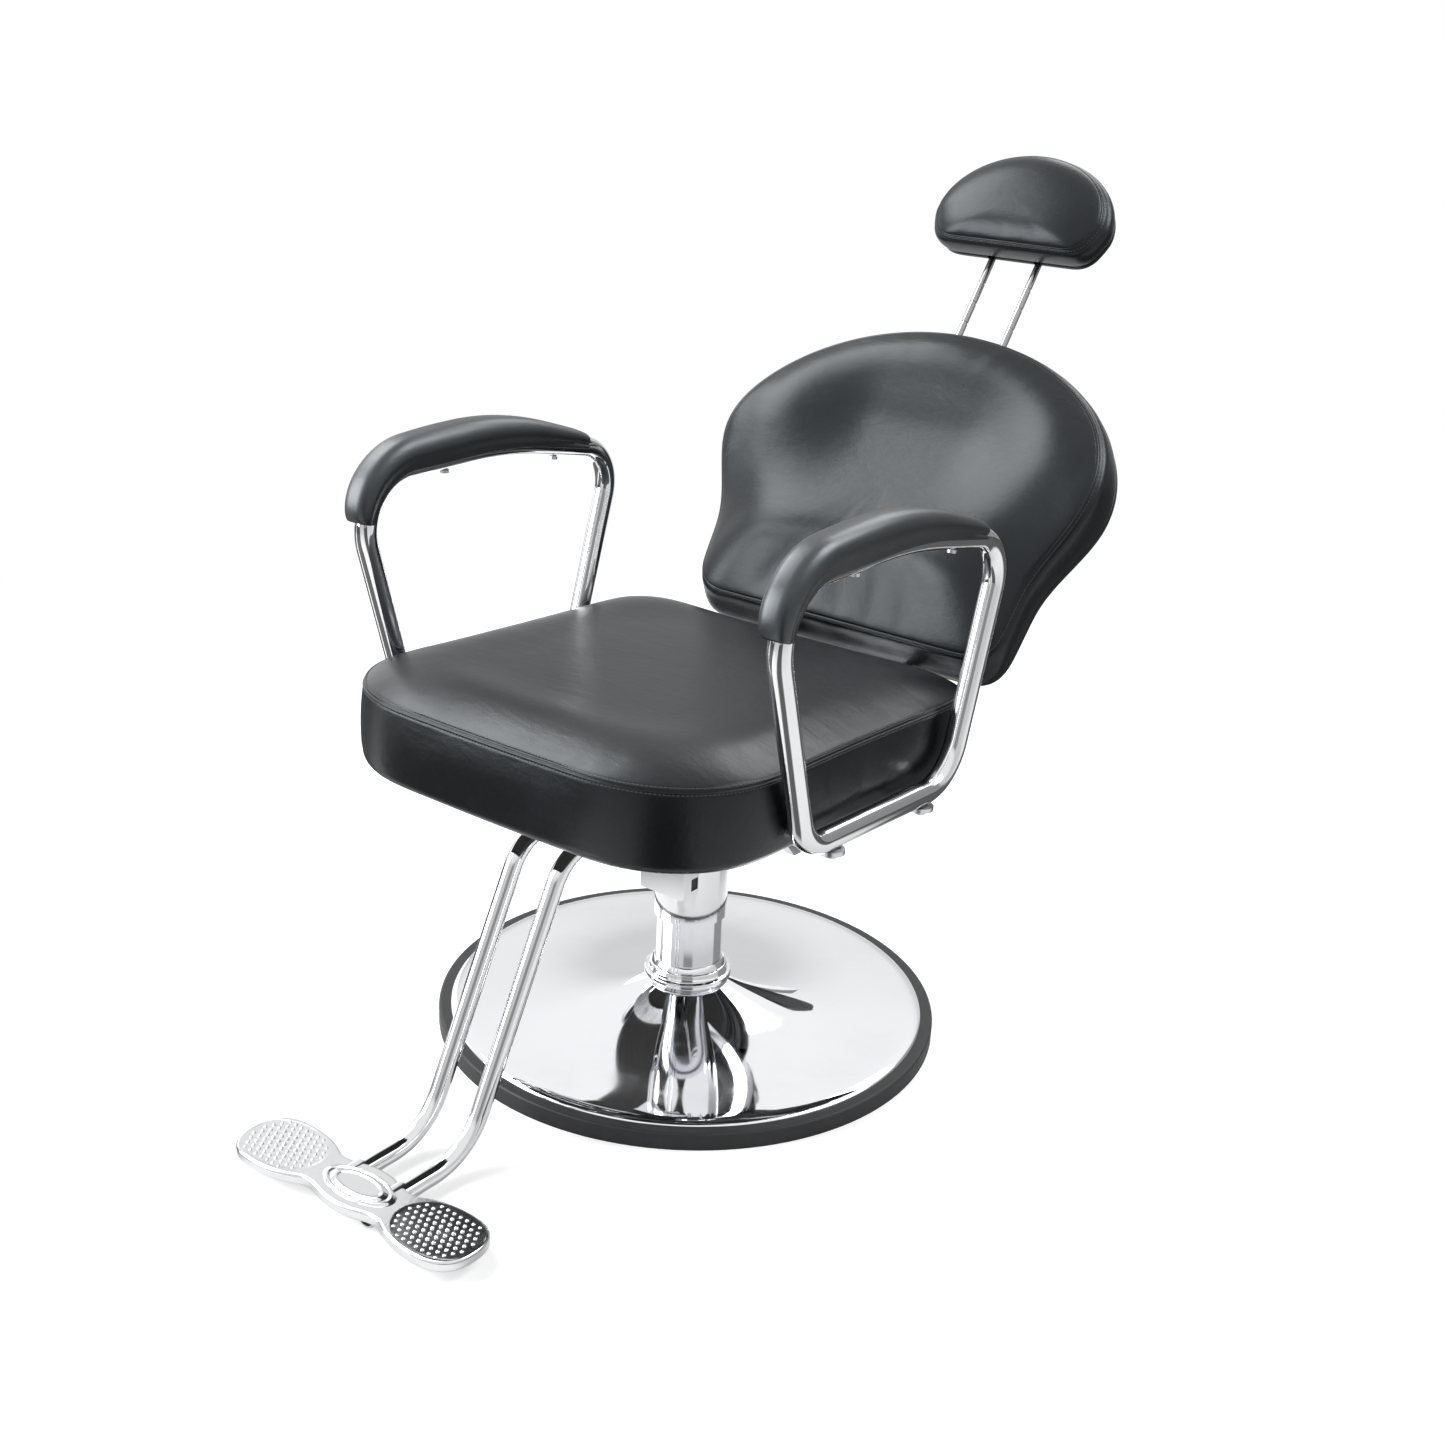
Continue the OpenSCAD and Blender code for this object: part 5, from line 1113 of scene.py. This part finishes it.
def build_rear_shell(s, ring, start):
    """Upholstered rear panel with a rolled edge, open where the brackets and posts go in."""
    top, openings = s.seam_low + s.height, []
    for side in (-1, 1):
        openings.append((side * BRACKET_SPREAD, 0.020, 0.0135, 0.0, s.seam_low + 0.041))
        openings.append((side * POST_SPREAD, 0.0085, 0.0172, top - 0.10, top + 0.03))
    under, over = (-0.2, -0.1, -0.03, -0.004, 0.001), (-0.034, -0.045, -0.07, -0.11, -0.15, -0.2)
    lip, roll = ((0.0024, 0.0008), (0.0028, 0.0022)), min(0.015, s.shell - 0.0025)
    shell = rolled_shell("rear_shell", ring, start, s.shell, under, lip, roll, 1.5, 10, over, openings)
    place(shell, "back", "cover_vinyl", ("back_cover",))


# ---------------------------------------------------------------- headrest

HEAD_GIRTH = 0.090  # mean half size of the headrest's outline, by which it grows


def head_outline(s):
    """The headrest's half-moon from the front."""
    half, corner, wide = s.width / 2, 0.028, 0.040
    side = arc((half - corner - 0.006, corner), corner, 270, 345, 14)
    turns = np.radians(np.linspace(0, 88, 40))
    side += [(half * math.cos(a), wide + (s.height - wide) * math.sin(a)) for a in turns]
    line = side + [(0, s.height)] + [(-x, z) for x, z in side[::-1]] + [(0, 0)]
    return eased(even(line, 260), 14)


def build_headrest(s, back, stitch):
    """Half-moon cushion on its wrapped board."""
    outline = head_outline(s)
    centre = np.array([0, 0.055])
    seam_y = -back.seam_depth + 0.012
    rear = seam_y + s.foam

    def ring(grown, y, rho=1.0):
        return level_ring(centre + (outline - centre) * (1 + grown / HEAD_GIRTH) * rho, y, s.low)

    hem = rear + s.board
    rings = wrapped_board(ring, (-0.07, -0.035, -0.012, -0.006), -0.0030, 0.0065, rear, hem)
    depth = hem - seam_y
    for t in np.linspace(0.9, 0.16, 10):
        grown = (0.0035 + 0.0035 * math.sin(math.pi * (1 - t))) * float(smooth_step(t / 0.3))
        rings.append(ring(grown, seam_y + depth * t))
    rings += [ring(0.0008 * d / 0.0047, seam_y + d) for d in SEAM_STEPS[:6][::-1]]
    seam, reach = len(rings), 0.091
    for d in (0.0, *SEAM_STEPS[:-1], *HEAD_STEPS):
        rho = 1 - d / reach
        rings.append(ring(0, seam_y - s.crown * (1 - rho**3.2) ** 0.72, rho))
    skin = Skin(rings)
    swell(skin, pinned_points(skin, seam, 14), 0.0045, 0.0012, pressure=1.5, grow=0.0008)
    gap = stitch.row_gap * CLOSE_ROW
    cushion = upholster(
        "head", "headrest", "headrest_cushion", BACK_FRAME, skin, seam, stitch, gap, 0.0012
    )
    build_head_shell(s, ring, hem + GLUE_LINE)


def build_head_shell(s, ring, start):
    """The headrest's rear panel, open where the posts and their clamp go in."""
    openings = [(side * POST_SPREAD, 0.005, 0.0102, s.low - 0.02, s.low + 0.084) for side in (-1, 1)]
    openings.append((0, 0.060, s.shell - 0.0025, s.low + 0.006, s.low + 0.090))
    under, over = (-0.07, -0.03, -0.002, 0.002), (-0.016, -0.03, -0.05, -0.07)
    lip, roll = ((0.0034, 0.0008), (0.0037, 0.0018)), s.shell - 0.0022
    shell = rolled_shell("head_shell", ring, start, s.shell, under, lip, roll, 1.4, 9, over, openings)
    place(shell, "headrest", "cover_vinyl", ("headrest_cover",))


# ---------------------------------------------------------------- arms

ARM_CORNERS = ((-0.277, 0.291), (-0.043, 0.306), (0.152, 0.280), (0.088, 0.01262), (-0.184, 0.01262))
ARM_BENDS = (0.064, 0.600, 0.052, 0.060, 0.045)
PAD_NOSE = math.radians(78)  # how far the pad wraps round the arm's front bend
PAD_TAIL = 0.0754  # length of the pad behind the crest


def build_arms(s):
    """A closed loop of chrome tube on each side."""
    path, ways = bent_path(ARM_CORNERS, ARM_BENDS, True)
    for side, name in SIDES:
        points, faces = tube(path, ways, s.tube, True)
        points[:, 0] += side * s.spread
        loop = piece(f"arm_loop_{name}", points, faces, SEAT_FRAME)
        place(loop, "seat_unit", "tube_chrome", (f"arm_frame_{name}",))


def heading(a):
    """The direction at an angle."""
    return Vector((math.cos(a), math.sin(a)))


def bearing(point, centre):
    """The angle of a point seen from a centre."""
    return math.atan2(point.y - centre.y, point.x - centre.x)


def pad_line(count=90):
    """Places along the arm pad: middle of the tube and its outward normal, nose first."""
    c = [Vector(p) for p in ARM_CORNERS]
    nose, crest = (Bend(c, i, ARM_BENDS[i]) for i in (0, 1))
    a0 = bearing(nose.end, nose.centre)
    a1, a2 = bearing(crest.start, crest.centre), bearing(crest.end, crest.centre)
    line = []
    for t in np.linspace(PAD_NOSE, 0, 30):
        n = heading(a0 + t)
        line.append((nose.centre + n * ARM_BENDS[0], n))
    last = line[-1][1]
    for k in range(1, 8):
        line.append((nose.end.lerp(crest.start, k / 8), last.lerp(heading(a1), k / 8).normalized()))
    for t in np.linspace(a1, a2, 12):
        n = heading(t)
        line.append((crest.centre + n * ARM_BENDS[1], n))
    way = (c[2] - c[1]).normalized()
    for d in np.linspace(0.004, PAD_TAIL, 18):
        line.append((crest.end + way * d, Vector((-way.y, way.x))))
    p = np.array([[q.x, q.y, n.x, n.y] for q, n in line])
    run = np.r_[0, np.cumsum(np.hypot(*np.diff(p[:, :2], axis=0).T))]
    t = run[-1] * (1 - np.cos(np.linspace(0, math.pi, count))) / 2
    rows = np.column_stack([np.interp(t, run, p[:, k]) for k in range(4)])
    rows[:, 2:] /= np.linalg.norm(rows[:, 2:], axis=1)[:, None]
    return rows, t / run[-1]


def pad_side(a, t, groove):
    """Half width of the pad's section, with its lower edges tucked in to the tube."""
    rise = math.sin(t)
    x = 1.06 * a * (1 - 0.3 * math.exp(-((rise / 0.3) ** 2))) * abs(math.cos(t)) ** 0.6
    return math.copysign(max(x, groove + 0.0015) if rise < 0.1 else x, math.cos(t))


def pad_section(a, b, groove):
    """The pad's section, half width a and height b, with rounded lips beside the tube's groove."""
    over = np.linspace(0, math.pi, 37)
    line = [(pad_side(a, t, groove), b * max(0, math.sin(t)) ** 0.82) for t in over]
    lip = (line[0][0] - groove) / 2

    def rounded(middle):
        turns = np.linspace(0.35, math.pi - 0.35, 6)
        return [(middle - lip * math.cos(t), -lip * 0.55 * math.sin(t)) for t in turns]

    line += rounded(-(groove + lip))
    line += [(groove * math.cos(t), groove * math.sin(t)) for t in np.linspace(math.pi, 0, 17)]
    return line + rounded(groove + lip)


def pad_size(s, f, rest):
    """Half width and height of the pad at a fraction of its length, rounded at both ends."""
    nose = math.sqrt(max(0, 1 - (1 - f / 0.1) ** 2)) if f < 0.1 else 1
    tail = math.sqrt(max(0, 1 - ((f - 0.93) / 0.07) ** 2)) if f > 0.93 else 1
    wide = s.pad_half_width * (0.86 + 0.14 * math.sin(math.pi * min(1, f * 1.1))) * (1 - 0.22 * f**4)
    tall = s.pad_height * (0.72 + 0.28 * math.sin(min(1, f / 0.42) * math.pi / 2))
    tall *= 1 - 0.52 * ((f - 0.45) / 0.55) ** 1.5 if f > 0.45 else 1
    a = rest + (wide - rest) * min(0.18 + 0.82 * nose, 0.3 + 0.7 * tail)
    b = rest + (tall - rest) * min(0.12 + 0.88 * nose, 0.2 + 0.8 * tail)
    return a, b


def build_arm_pads(s):
    """Moulded pads that wrap the tops of the arm loops."""
    rows, along = pad_line()
    groove = s.tube + 0.0008
    rest = groove + 0.0025
    for side, name in SIDES:
        rings = []
        for (v, w, nv, nw), f in zip(rows, along):
            section = pad_section(*pad_size(s, f, rest), groove)
            rings.append([(side * s.spread + x, v + nv * h, w + nw * h) for x, h in section])
        rings = np.array(rings)
        count = rings.shape[1]
        last = (len(rings) - 1) * count
        faces = grid_faces(len(rings), count, True)
        faces += [tuple(range(count))[::-1], tuple(last + i for i in range(count))]
        pad = piece(f"armrest_{name}", rings.reshape(-1, 3), faces, SEAT_FRAME, 0.9)
        place(pad, "seat_unit", "black_vinyl", (f"arm_pad_{name}",), FINISHES["pad_skin"])


# ---------------------------------------------------------------- footrest

FOOT_CORNERS = ((-0.150, 0.306), (-0.258, 0.306), (-0.404, 0.014), (-0.535, 0.014))
FOOT_BENDS = (0, 0.050, 0.075, 0)
FOOT_WALL = 0.0016
PLATE_ROLL = 0.0030  # radius of the footplate's rounded edge
STUD_SINK = 0.0008  # how deep a stud stands in the plate
STUD_EDGE = 0.0075  # clear rim between the studs and the plate's edge


def build_foot_tubes(s):
    """Two bent tubes from under the seat down to the footplate."""
    path, ways = bent_path(FOOT_CORNERS, FOOT_BENDS, False)
    for side, name in SIDES:
        points, faces = tube(path, ways, s.tube, False, s.tube - FOOT_WALL, 40)
        points[:, 0] += side * s.spread
        bent = piece(f"foot_tube_{name}", points, faces, None, 0.9)
        place(bent, "seat_unit", "tube_chrome", (f"footrest_tube_{name}",))


def plate_half_depth(s, x, inset):
    """Half depth of the footplate at a place along it: two lobes, an oval middle and a waist."""
    lobe_c = s.plate_length / 2 - 0.042
    x = np.abs(x)
    lobe_a = np.where(x > lobe_c, 0.042, 0.070) - inset
    lobe = (0.041 - inset) * np.maximum(0, 1 - (np.abs(x - lobe_c) / lobe_a) ** 2.4) ** (1 / 2.4)
    middle = (0.033 - inset) * np.sqrt(np.maximum(0, 1 - (x / (0.050 - inset)) ** 2))
    waist = np.where(x < lobe_c, 0.026 - inset, 0.0)
    return (lobe**6 + middle**6 + waist**6) ** (1 / 6)


def plate_relief(s, x, y):
    """Height of the plate's face: a raised double oval in the middle and a shallow dish in each lobe."""
    outer = math.hypot(x / 0.044, y / 0.021)
    inner = math.hypot(x / 0.031, y / 0.0135)
    dish = abs(abs(x) - (s.plate_length / 2 - 0.050)) / 0.052
    lift = 0.0019 * float(smooth_step((1.06 - outer) / 0.09))
    lift -= 0.0009 * math.exp(-(((outer - 0.86) / 0.05) ** 2))
    lift += 0.0007 * math.exp(-(((inner - 1) / 0.09) ** 2))
    return lift - 0.0012 * max(0, 1 - math.hypot(dish, y / 0.038)) ** 0.5


def build_footplate(s):
    """Cast plate with rounded edges, one face relieved and one flat."""
    half, roll, columns = s.plate_length / 2, PLATE_ROLL, 300
    tip = np.cos(np.linspace(math.pi, 0, columns))
    top, under = s.plate_top, s.plate_top - s.plate_thick

    def outline(inset):
        x = tip * (half - inset)
        h = plate_half_depth(s, x, inset)
        return np.vstack([np.column_stack([x, -h]), np.column_stack([x[::-1], h[::-1]])[1:-1]])

    edge = [(outline(roll * (1 - math.sin(a))), under + roll * (1 - math.cos(a))) for a in quarter(7)]
    edge += [(outline(roll * (1 - math.cos(a))), top - roll + roll * math.sin(a)) for a in quarter(9)]
    rings = np.array([np.column_stack([p, np.full(len(p), z)]) for p, z in edge])
    count = rings.shape[1]
    points = list(rings.reshape(-1, 3))
    faces = grid_faces(len(rings), count, True)
    x = tip * (half - roll)
    h = plate_half_depth(s, x, roll)
    # face and underside: rows across between the two edges
    for ring_first, z, face in (((len(rings) - 1) * count, top, True), (0, under, False)):
        front = [ring_first + i for i in range(columns)]
        back = [ring_first + count - k for k in range(1, columns - 1)]
        rows = [front]
        for t in np.linspace(-1, 1, 61)[1:-1]:
            rows.append([len(points) + i for i in range(columns)])
            for xi, hi in zip(x, h):
                y = t * hi
                points.append((xi, y, z + (plate_relief(s, xi, y) if face else 0.0)))
        rows.append([front[0], *back, front[-1]])
        for a, b in zip(rows, rows[1:]):
            faces += [(a[i], a[i + 1], b[i + 1], b[i]) for i in range(columns - 1)]
    points = np.array(points)
    points[:, 1] -= s.reach
    plate = piece("foot_plate", points, faces, None, 0.6)
    tidy_mesh(plate, 2e-5)
    plate.data.update()
    place(plate, "seat_unit", "cast_aluminium", ("footplate",))
    build_plate_sockets(s)


def build_plate_sockets(s):
    """The two sockets under the plate that the tubes run into."""
    bore, deep, bevel = s.tube + 0.0002, 0.052, 0.0008
    wall = bore + 0.0026
    profile = [(bore, 0.0), (wall - bevel, 0.0), (wall, bevel)]
    profile += [(wall, 0.050), (wall - bevel, deep), (bore, deep)]
    points, faces = [], []
    for side in (-1, 1):
        p, f = lathe(profile, 40)
        p = np.column_stack([p[:, 0] + side * s.spread, -p[:, 2] - s.reach + 0.032, p[:, 1] + 0.014])
        under_plate = np.abs(p[:, 1] + s.reach) < 0.031
        p[:, 2] = np.clip(p[:, 2], 0.0024, np.where(under_plate, s.plate_top - 0.0008, 1.0))
        faces += [tuple(i + len(points) for i in face) for face in f]
        points += list(p)
    sockets = piece("foot_plate_sockets", points, faces, None, 0.5)
    place(sockets, "seat_unit", "cast_aluminium")


def stud_tree():
    """Geometry nodes: a low dome on every point."""
    kit, source, radius, finish = open_tree("raised_studs", "Radius")
    points = kit.node("GeometryNodeMeshToPoints", None, {"Mesh": source})
    ball = kit.node("GeometryNodeMeshUVSphere", None, {"Segments": 12, "Rings": 8, "Radius": radius})
    flat = kit.node("GeometryNodeTransform", None, {"Geometry": ball, "Scale": (1, 1, 0.72)})
    copies = {"Points": points, "Instance": flat}
    return close_tree(kit, kit.node("GeometryNodeInstanceOnPoints", None, copies), finish)


def build_studs(s):
    """Grip studs in staggered rows on both lobes."""
    points = []
    inner, tip = 0.0635, s.plate_length / 2 - STUD_EDGE - 0.002
    for side in (-1, 1):
        for row in range(-5, 6):
            y = row * s.stud_pitch * 0.87
            for k in range(7, 20):
                x = (k + (row % 2) / 2) * s.stud_pitch
                edge = float(plate_half_depth(s, np.array([x]), STUD_EDGE)[0]) if x < tip else 0
                if x > inner and abs(y) < edge:
                    points.append((side * x, y - s.reach, s.plate_top - STUD_SINK))
    finish = FINISHES["cast_aluminium"]
    studs = run_nodes("foot_plate_studs", points, (), stud_tree(), Radius=s.stud_radius, Finish=finish)
    shade(studs)
    place(studs, "seat_unit", "cast_aluminium")


# ---------------------------------------------------------------- base


def build_base():
    build_dome()
    build_collar()


def build_dome():
    """Spun dome with a rolled shoulder, swept up to the column."""
    low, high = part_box("base_dome")
    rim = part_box("base_rim_ring")[1].z
    outer, top, lip = high.x, high.z, low.z
    hole, thick, shoulder, rise = 0.0425, 0.002, 0.014, 0.004
    flat_r, flat_z = outer - shoulder, rim + rise
    profile = [(outer, lip)]
    for a in np.radians(np.linspace(0, 78, 16)):
        profile.append((outer - shoulder * (1 - math.cos(a)), rim + rise * math.sin(a)))
    sweep = np.linspace(0, 1, 90) ** 0.75
    curve = [(flat_r + (hole - flat_r) * t, flat_z + (top - flat_z) * t**3.4) for t in sweep]
    profile += curve + [(r, z - thick) for r, z in curve[::-4]]
    profile += [(outer - thick, rim), (outer - thick, lip)]
    points, faces = lathe(profile, 240)
    place(piece("dome_shell", points, faces, None, 0.6), "base", "dome_chrome", ("base_dome",))


def build_collar():
    """Stepped trim ring with rounded steps where the column meets the dome."""
    low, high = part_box("base_collar")
    r, z, bore, edge, neck_edge = high.x, low.z, 0.0398, 0.002, 0.0022
    neck = r - 0.0055
    steps = [(bore, z), (r - 0.0015, z)]
    steps += arc((r - edge, z + 0.002), edge, -80, 0, 6)
    steps += arc((r - edge, z + 0.005), edge, 0, 90, 7)
    steps += [(neck + 0.0006, z + 0.0071), (neck, z + 0.0080)]
    steps += arc((neck - neck_edge, z + 0.0148), neck_edge, 0, 85, 7)
    steps += [(bore + 0.0024, z + 0.0225), (bore + 0.0012, z + 0.0238), (bore, z + 0.0238)]
    points, faces = lathe(steps, 160)
    place(piece("collar_ring", points, faces, None, 0.6), "base", "bright_chrome", ("base_collar",))


# ---------------------------------------------------------------- stage

CAMERA_PLACE = (1.20096463692, -1.57637015525, 1.14011402111)
SENSOR_WIDTH = 36
FLOOR_SIDES = 96
WHITE = (1, 1, 1, 1)
PAPER = (0.8, 0.8, 0.8, 1)
# the floor: its glow near the chair, the squared distances over which it turns white, and how far
# it does so for metal and glass
CAMERA_GLOW, MIRROR_GLOW = 0.5, 0.1
TURNS_WHITE = (1.0, 4.5)
MIRROR_WHITE = 0.6
# the room for metal and glass: its strength low down, and the heights over which it brightens
LOW_ROOM = 0.58
BRIGHTENS = (0.30, 0.56)
# dark studio flags: bearing and half width in degrees, and height as the sine of an elevation
FLAGS = ((66, 24, 0.52), (181, 22, 0.16), (-53.5, 15, 0.30), (-127, 20, 0.0))
FLAG_SOFT_EDGE = 4
FLAG_SOFT_TOP = 0.1
FLAG_DEPTH = 0.9
FLAG_GREY = 0.03
FLAG_FOOT = (0.10, 0.30)  # squared distances over which a flag's foot comes in on the floor
# lamps: place, aim, size and power beside the lamp overhead
LAMPS = {
    "key_lamp": ((-1.85, -1.9, 1.4), (0, 0.3, 0.6), (1.7, 1.9), 1.5),
    "high_lamp": ((-1.9, -0.1, 2.75), (0, 0, 0.5), (2.0, 1.4), 1),
    "left_rim_lamp": ((-2.9, 0.4, 0.95), (0, 0, 0.6), (2.2, 1.6), 0.2),
    "right_rim_lamp": ((1.5, 1.3, 2.6), (0, 0, 0.6), (1.4, 1.4), 0.8),
    "back_lamp": ((-0.2, 2.1, 2.3), (0.1, 0.1, 0.6), (1.4, 1.0), 0.3),
}


def build_camera(s):
    """The camera that takes the chair from its front left."""
    level, turn = math.cos(s.elevation), (math.cos(s.azimuth), math.sin(s.azimuth))
    back = Vector((turn[1] * level, -turn[0] * level, math.sin(s.elevation)))
    right = Vector((*turn, 0))
    up = right.cross(-back)
    r = right * math.cos(s.roll) + up * math.sin(s.roll)
    u = up * math.cos(s.roll) - right * math.sin(s.roll)
    data = bpy.data.cameras.new("chair_camera")
    data.lens, data.sensor_width = s.lens, SENSOR_WIDTH
    data.clip_start, data.clip_end = 0.05, 60
    camera = linked("chair_camera", data)
    m = Matrix((r, u, back)).transposed().to_4x4()
    m.translation = CAMERA_PLACE
    camera.matrix_world = m
    bpy.context.scene.camera = camera


def ray_kinds(kit):
    """1 for camera rays, and 1 for rays that come by way of metal or glass."""
    path = kit.node("ShaderNodeLightPath")
    return path, kit.part(path, "Is Glossy Ray").most(kit.part(path, "Is Transmission Ray"))


def flags(x, y, z=None):
    """1 in the directions where a dark flag stands, up to its height if z is given."""
    reach = (x * x + y * y) ** 0.5
    total = None
    for toward, half, top in FLAGS:
        a = math.radians(toward)
        facing = (x * math.cos(a) + y * math.sin(a)) / reach
        outer, inner = math.radians(half + FLAG_SOFT_EDGE), math.radians(half - FLAG_SOFT_EDGE)
        mask = facing.fade(math.cos(outer), math.cos(inner))
        if z is not None:
            mask = mask * (1 - z.fade(top, top + FLAG_SOFT_TOP))
        total = mask if total is None else total.most(mask)
    return total


def emission(kit, strength):
    """Plain white light of a strength."""
    return kit.node("ShaderNodeEmission", None, {"Color": WHITE, "Strength": strength})


def build_floor(s):
    """A pale floor that turns white far off; the flags stand on it for metal and glass alone."""
    turns = np.linspace(0, 2 * math.pi, FLOOR_SIDES, endpoint=False)
    ring = [(s.floor * math.cos(a), s.floor * math.sin(a), 0) for a in turns]
    floor = new_object("studio_floor", ring, [tuple(range(FLOOR_SIDES))])
    material = bpy.data.materials.new("studio_floor")
    kit = Kit(own_tree(material))
    camera, shiny = ray_kinds(kit)
    paper = kit.node("ShaderNodeBsdfDiffuse", None, {"Color": PAPER})
    glow = emission(kit, camera * CAMERA_GLOW + shiny * MIRROR_GLOW)
    near = kit.node("ShaderNodeAddShader", None, {0: paper, 1: glow})
    x, y, _ = kit.split(kit.node("ShaderNodeTexCoord", output="Object"))
    reach = x * x + y * y
    away = reach.fade(*TURNS_WHITE) * (camera + shiny * MIRROR_WHITE)
    pale = kit.node("ShaderNodeMixShader", None, {0: away, 1: near, 2: emission(kit, 1.0)})
    flagged = flags(x, y) * reach.fade(*FLAG_FOOT) * shiny * FLAG_DEPTH
    both = kit.node("ShaderNodeMixShader", None, {0: flagged, 1: pale, 2: emission(kit, FLAG_GREY)})
    kit.node("ShaderNodeOutputMaterial", None, {"Surface": both})
    floor.data.materials.append(material)


def soft_lamp(name, place_at, aim, size, power):
    """A rectangular lamp that the camera doesn't see."""
    data = bpy.data.lights.new(name, "AREA")
    data.shape, data.size, data.size_y, data.energy = "RECTANGLE", size[0], size[1], power
    lamp = linked(name, data)
    lamp.location = place_at
    lamp.rotation_mode = "QUATERNION"
    lamp.rotation_quaternion = (Vector(aim) - Vector(place_at)).to_track_quat("-Z", "Y")
    lamp.visible_camera = False


def build_light(s):
    """An even room, darker low down and behind the flags to metal and glass, and its soft lamps."""
    world = bpy.data.worlds.new("studio")
    bpy.context.scene.world = world
    kit = Kit(own_tree(world))
    camera, shiny = ray_kinds(kit)
    x, y, z = kit.split(kit.node("ShaderNodeTexCoord"))
    room = LOW_ROOM + z.fade(*BRIGHTENS) * (1 - LOW_ROOM)
    mirrored = shiny * room * (1 - flags(x, y, z) * FLAG_DEPTH)
    strength = s.ambient + camera.most(mirrored) * (1 - s.ambient)
    sky = kit.node("ShaderNodeBackground", None, {"Color": WHITE, "Strength": strength})
    kit.node("ShaderNodeOutputWorld", None, {"Surface": sky})
    for name, (place_at, aim, size, share) in LAMPS.items():
        soft_lamp(name, place_at, aim, size, s.lamp_power * share)


# ---------------------------------------------------------------- operators


def settings():
    return bpy.context.scene.salon_chair


class CHAIR_OT_finishes(bpy.types.Operator):
    """Make the materials and give every frame part its own"""

    bl_idname = "salon_chair.finishes"
    bl_label = "Finishes"

    def execute(self, context):
        make_finishes(settings().finish)
        slots = {p["node"]: p["material_slot"] for p in frame["record"]["subparts"]}
        for name, obj in frame["nodes"].items():
            for holder in obj.material_slots:
                holder.material = FINISHES[slots[name]]
        return {"FINISHED"}


class CHAIR_OT_base(bpy.types.Operator):
    """Spun dome and its stepped collar"""

    bl_idname = "salon_chair.base"
    bl_label = "Base"

    def execute(self, context):
        build_base()
        return {"FINISHED"}


class CHAIR_OT_seat(bpy.types.Operator):
    """Boxed seat cushion and its stitched seam"""

    bl_idname = "salon_chair.seat"
    bl_label = "Seat"

    def execute(self, context):
        build_seat(settings().seat, settings().stitch)
        return {"FINISHED"}


class CHAIR_OT_back(bpy.types.Operator):
    """Winged back cushion, its stitching and its rear shell"""

    bl_idname = "salon_chair.back"
    bl_label = "Back"

    def execute(self, context):
        build_back(settings().back, settings().stitch)
        return {"FINISHED"}


class CHAIR_OT_headrest(bpy.types.Operator):
    """Half-moon headrest with its stitching and rear shell"""

    bl_idname = "salon_chair.headrest"
    bl_label = "Headrest"

    def execute(self, context):
        build_headrest(settings().head, settings().back, settings().stitch)
        return {"FINISHED"}


class CHAIR_OT_arms(bpy.types.Operator):
    """Chrome arm loops and their wrapped pads"""

    bl_idname = "salon_chair.arms"
    bl_label = "Arms"

    def execute(self, context):
        build_arms(settings().arm)
        build_arm_pads(settings().arm)
        return {"FINISHED"}


class CHAIR_OT_footrest(bpy.types.Operator):
    """Bent tubes and the studded footplate"""

    bl_idname = "salon_chair.footrest"
    bl_label = "Footrest"

    def execute(self, context):
        build_foot_tubes(settings().foot)
        build_footplate(settings().foot)
        build_studs(settings().foot)
        return {"FINISHED"}


class CHAIR_OT_stage(bpy.types.Operator):
    """Camera, floor and soft light"""

    bl_idname = "salon_chair.stage"
    bl_label = "Stage"

    def execute(self, context):
        build_camera(settings().stage)
        build_floor(settings().stage)
        build_light(settings().stage)
        context.scene.view_settings.view_transform = "Standard"
        return {"FINISHED"}


STEPS = ("finishes", "base", "seat", "back", "headrest", "arms", "footrest", "stage")


class CHAIR_PT_panel(bpy.types.Panel):
    """Sizes, colours and build steps of the chair"""

    bl_idname = "CHAIR_PT_panel"
    bl_label = "Salon Chair"
    bl_space_type = "VIEW_3D"
    bl_region_type = "UI"
    bl_category = "Salon Chair"

    def draw(self, context):
        for group in ChairSettings.__annotations__:
            block = getattr(context.scene.salon_chair, group)
            box = self.layout.box()
            for key in block.__annotations__:
                box.prop(block, key)
        for step in STEPS:
            self.layout.operator(f"salon_chair.{step}")


CLASSES = (
    ChairSeatSettings,
    ChairBackSettings,
    ChairHeadSettings,
    ChairArmSettings,
    ChairFootSettings,
    ChairStitchSettings,
    ChairFinishSettings,
    ChairStageSettings,
    ChairSettings,
    CHAIR_OT_finishes,
    CHAIR_OT_base,
    CHAIR_OT_seat,
    CHAIR_OT_back,
    CHAIR_OT_headrest,
    CHAIR_OT_arms,
    CHAIR_OT_footrest,
    CHAIR_OT_stage,
    CHAIR_PT_panel,
)


def register():
    for c in CLASSES:
        bpy.utils.register_class(c)
    bpy.types.Scene.salon_chair = PointerProperty(type=ChairSettings)


def unregister():
    del bpy.types.Scene.salon_chair
    for c in reversed(CLASSES):
        bpy.utils.unregister_class(c)


def main():
    register()
    for step in STEPS:
        getattr(bpy.ops.salon_chair, step)()


if __name__ == "__main__":
    main()
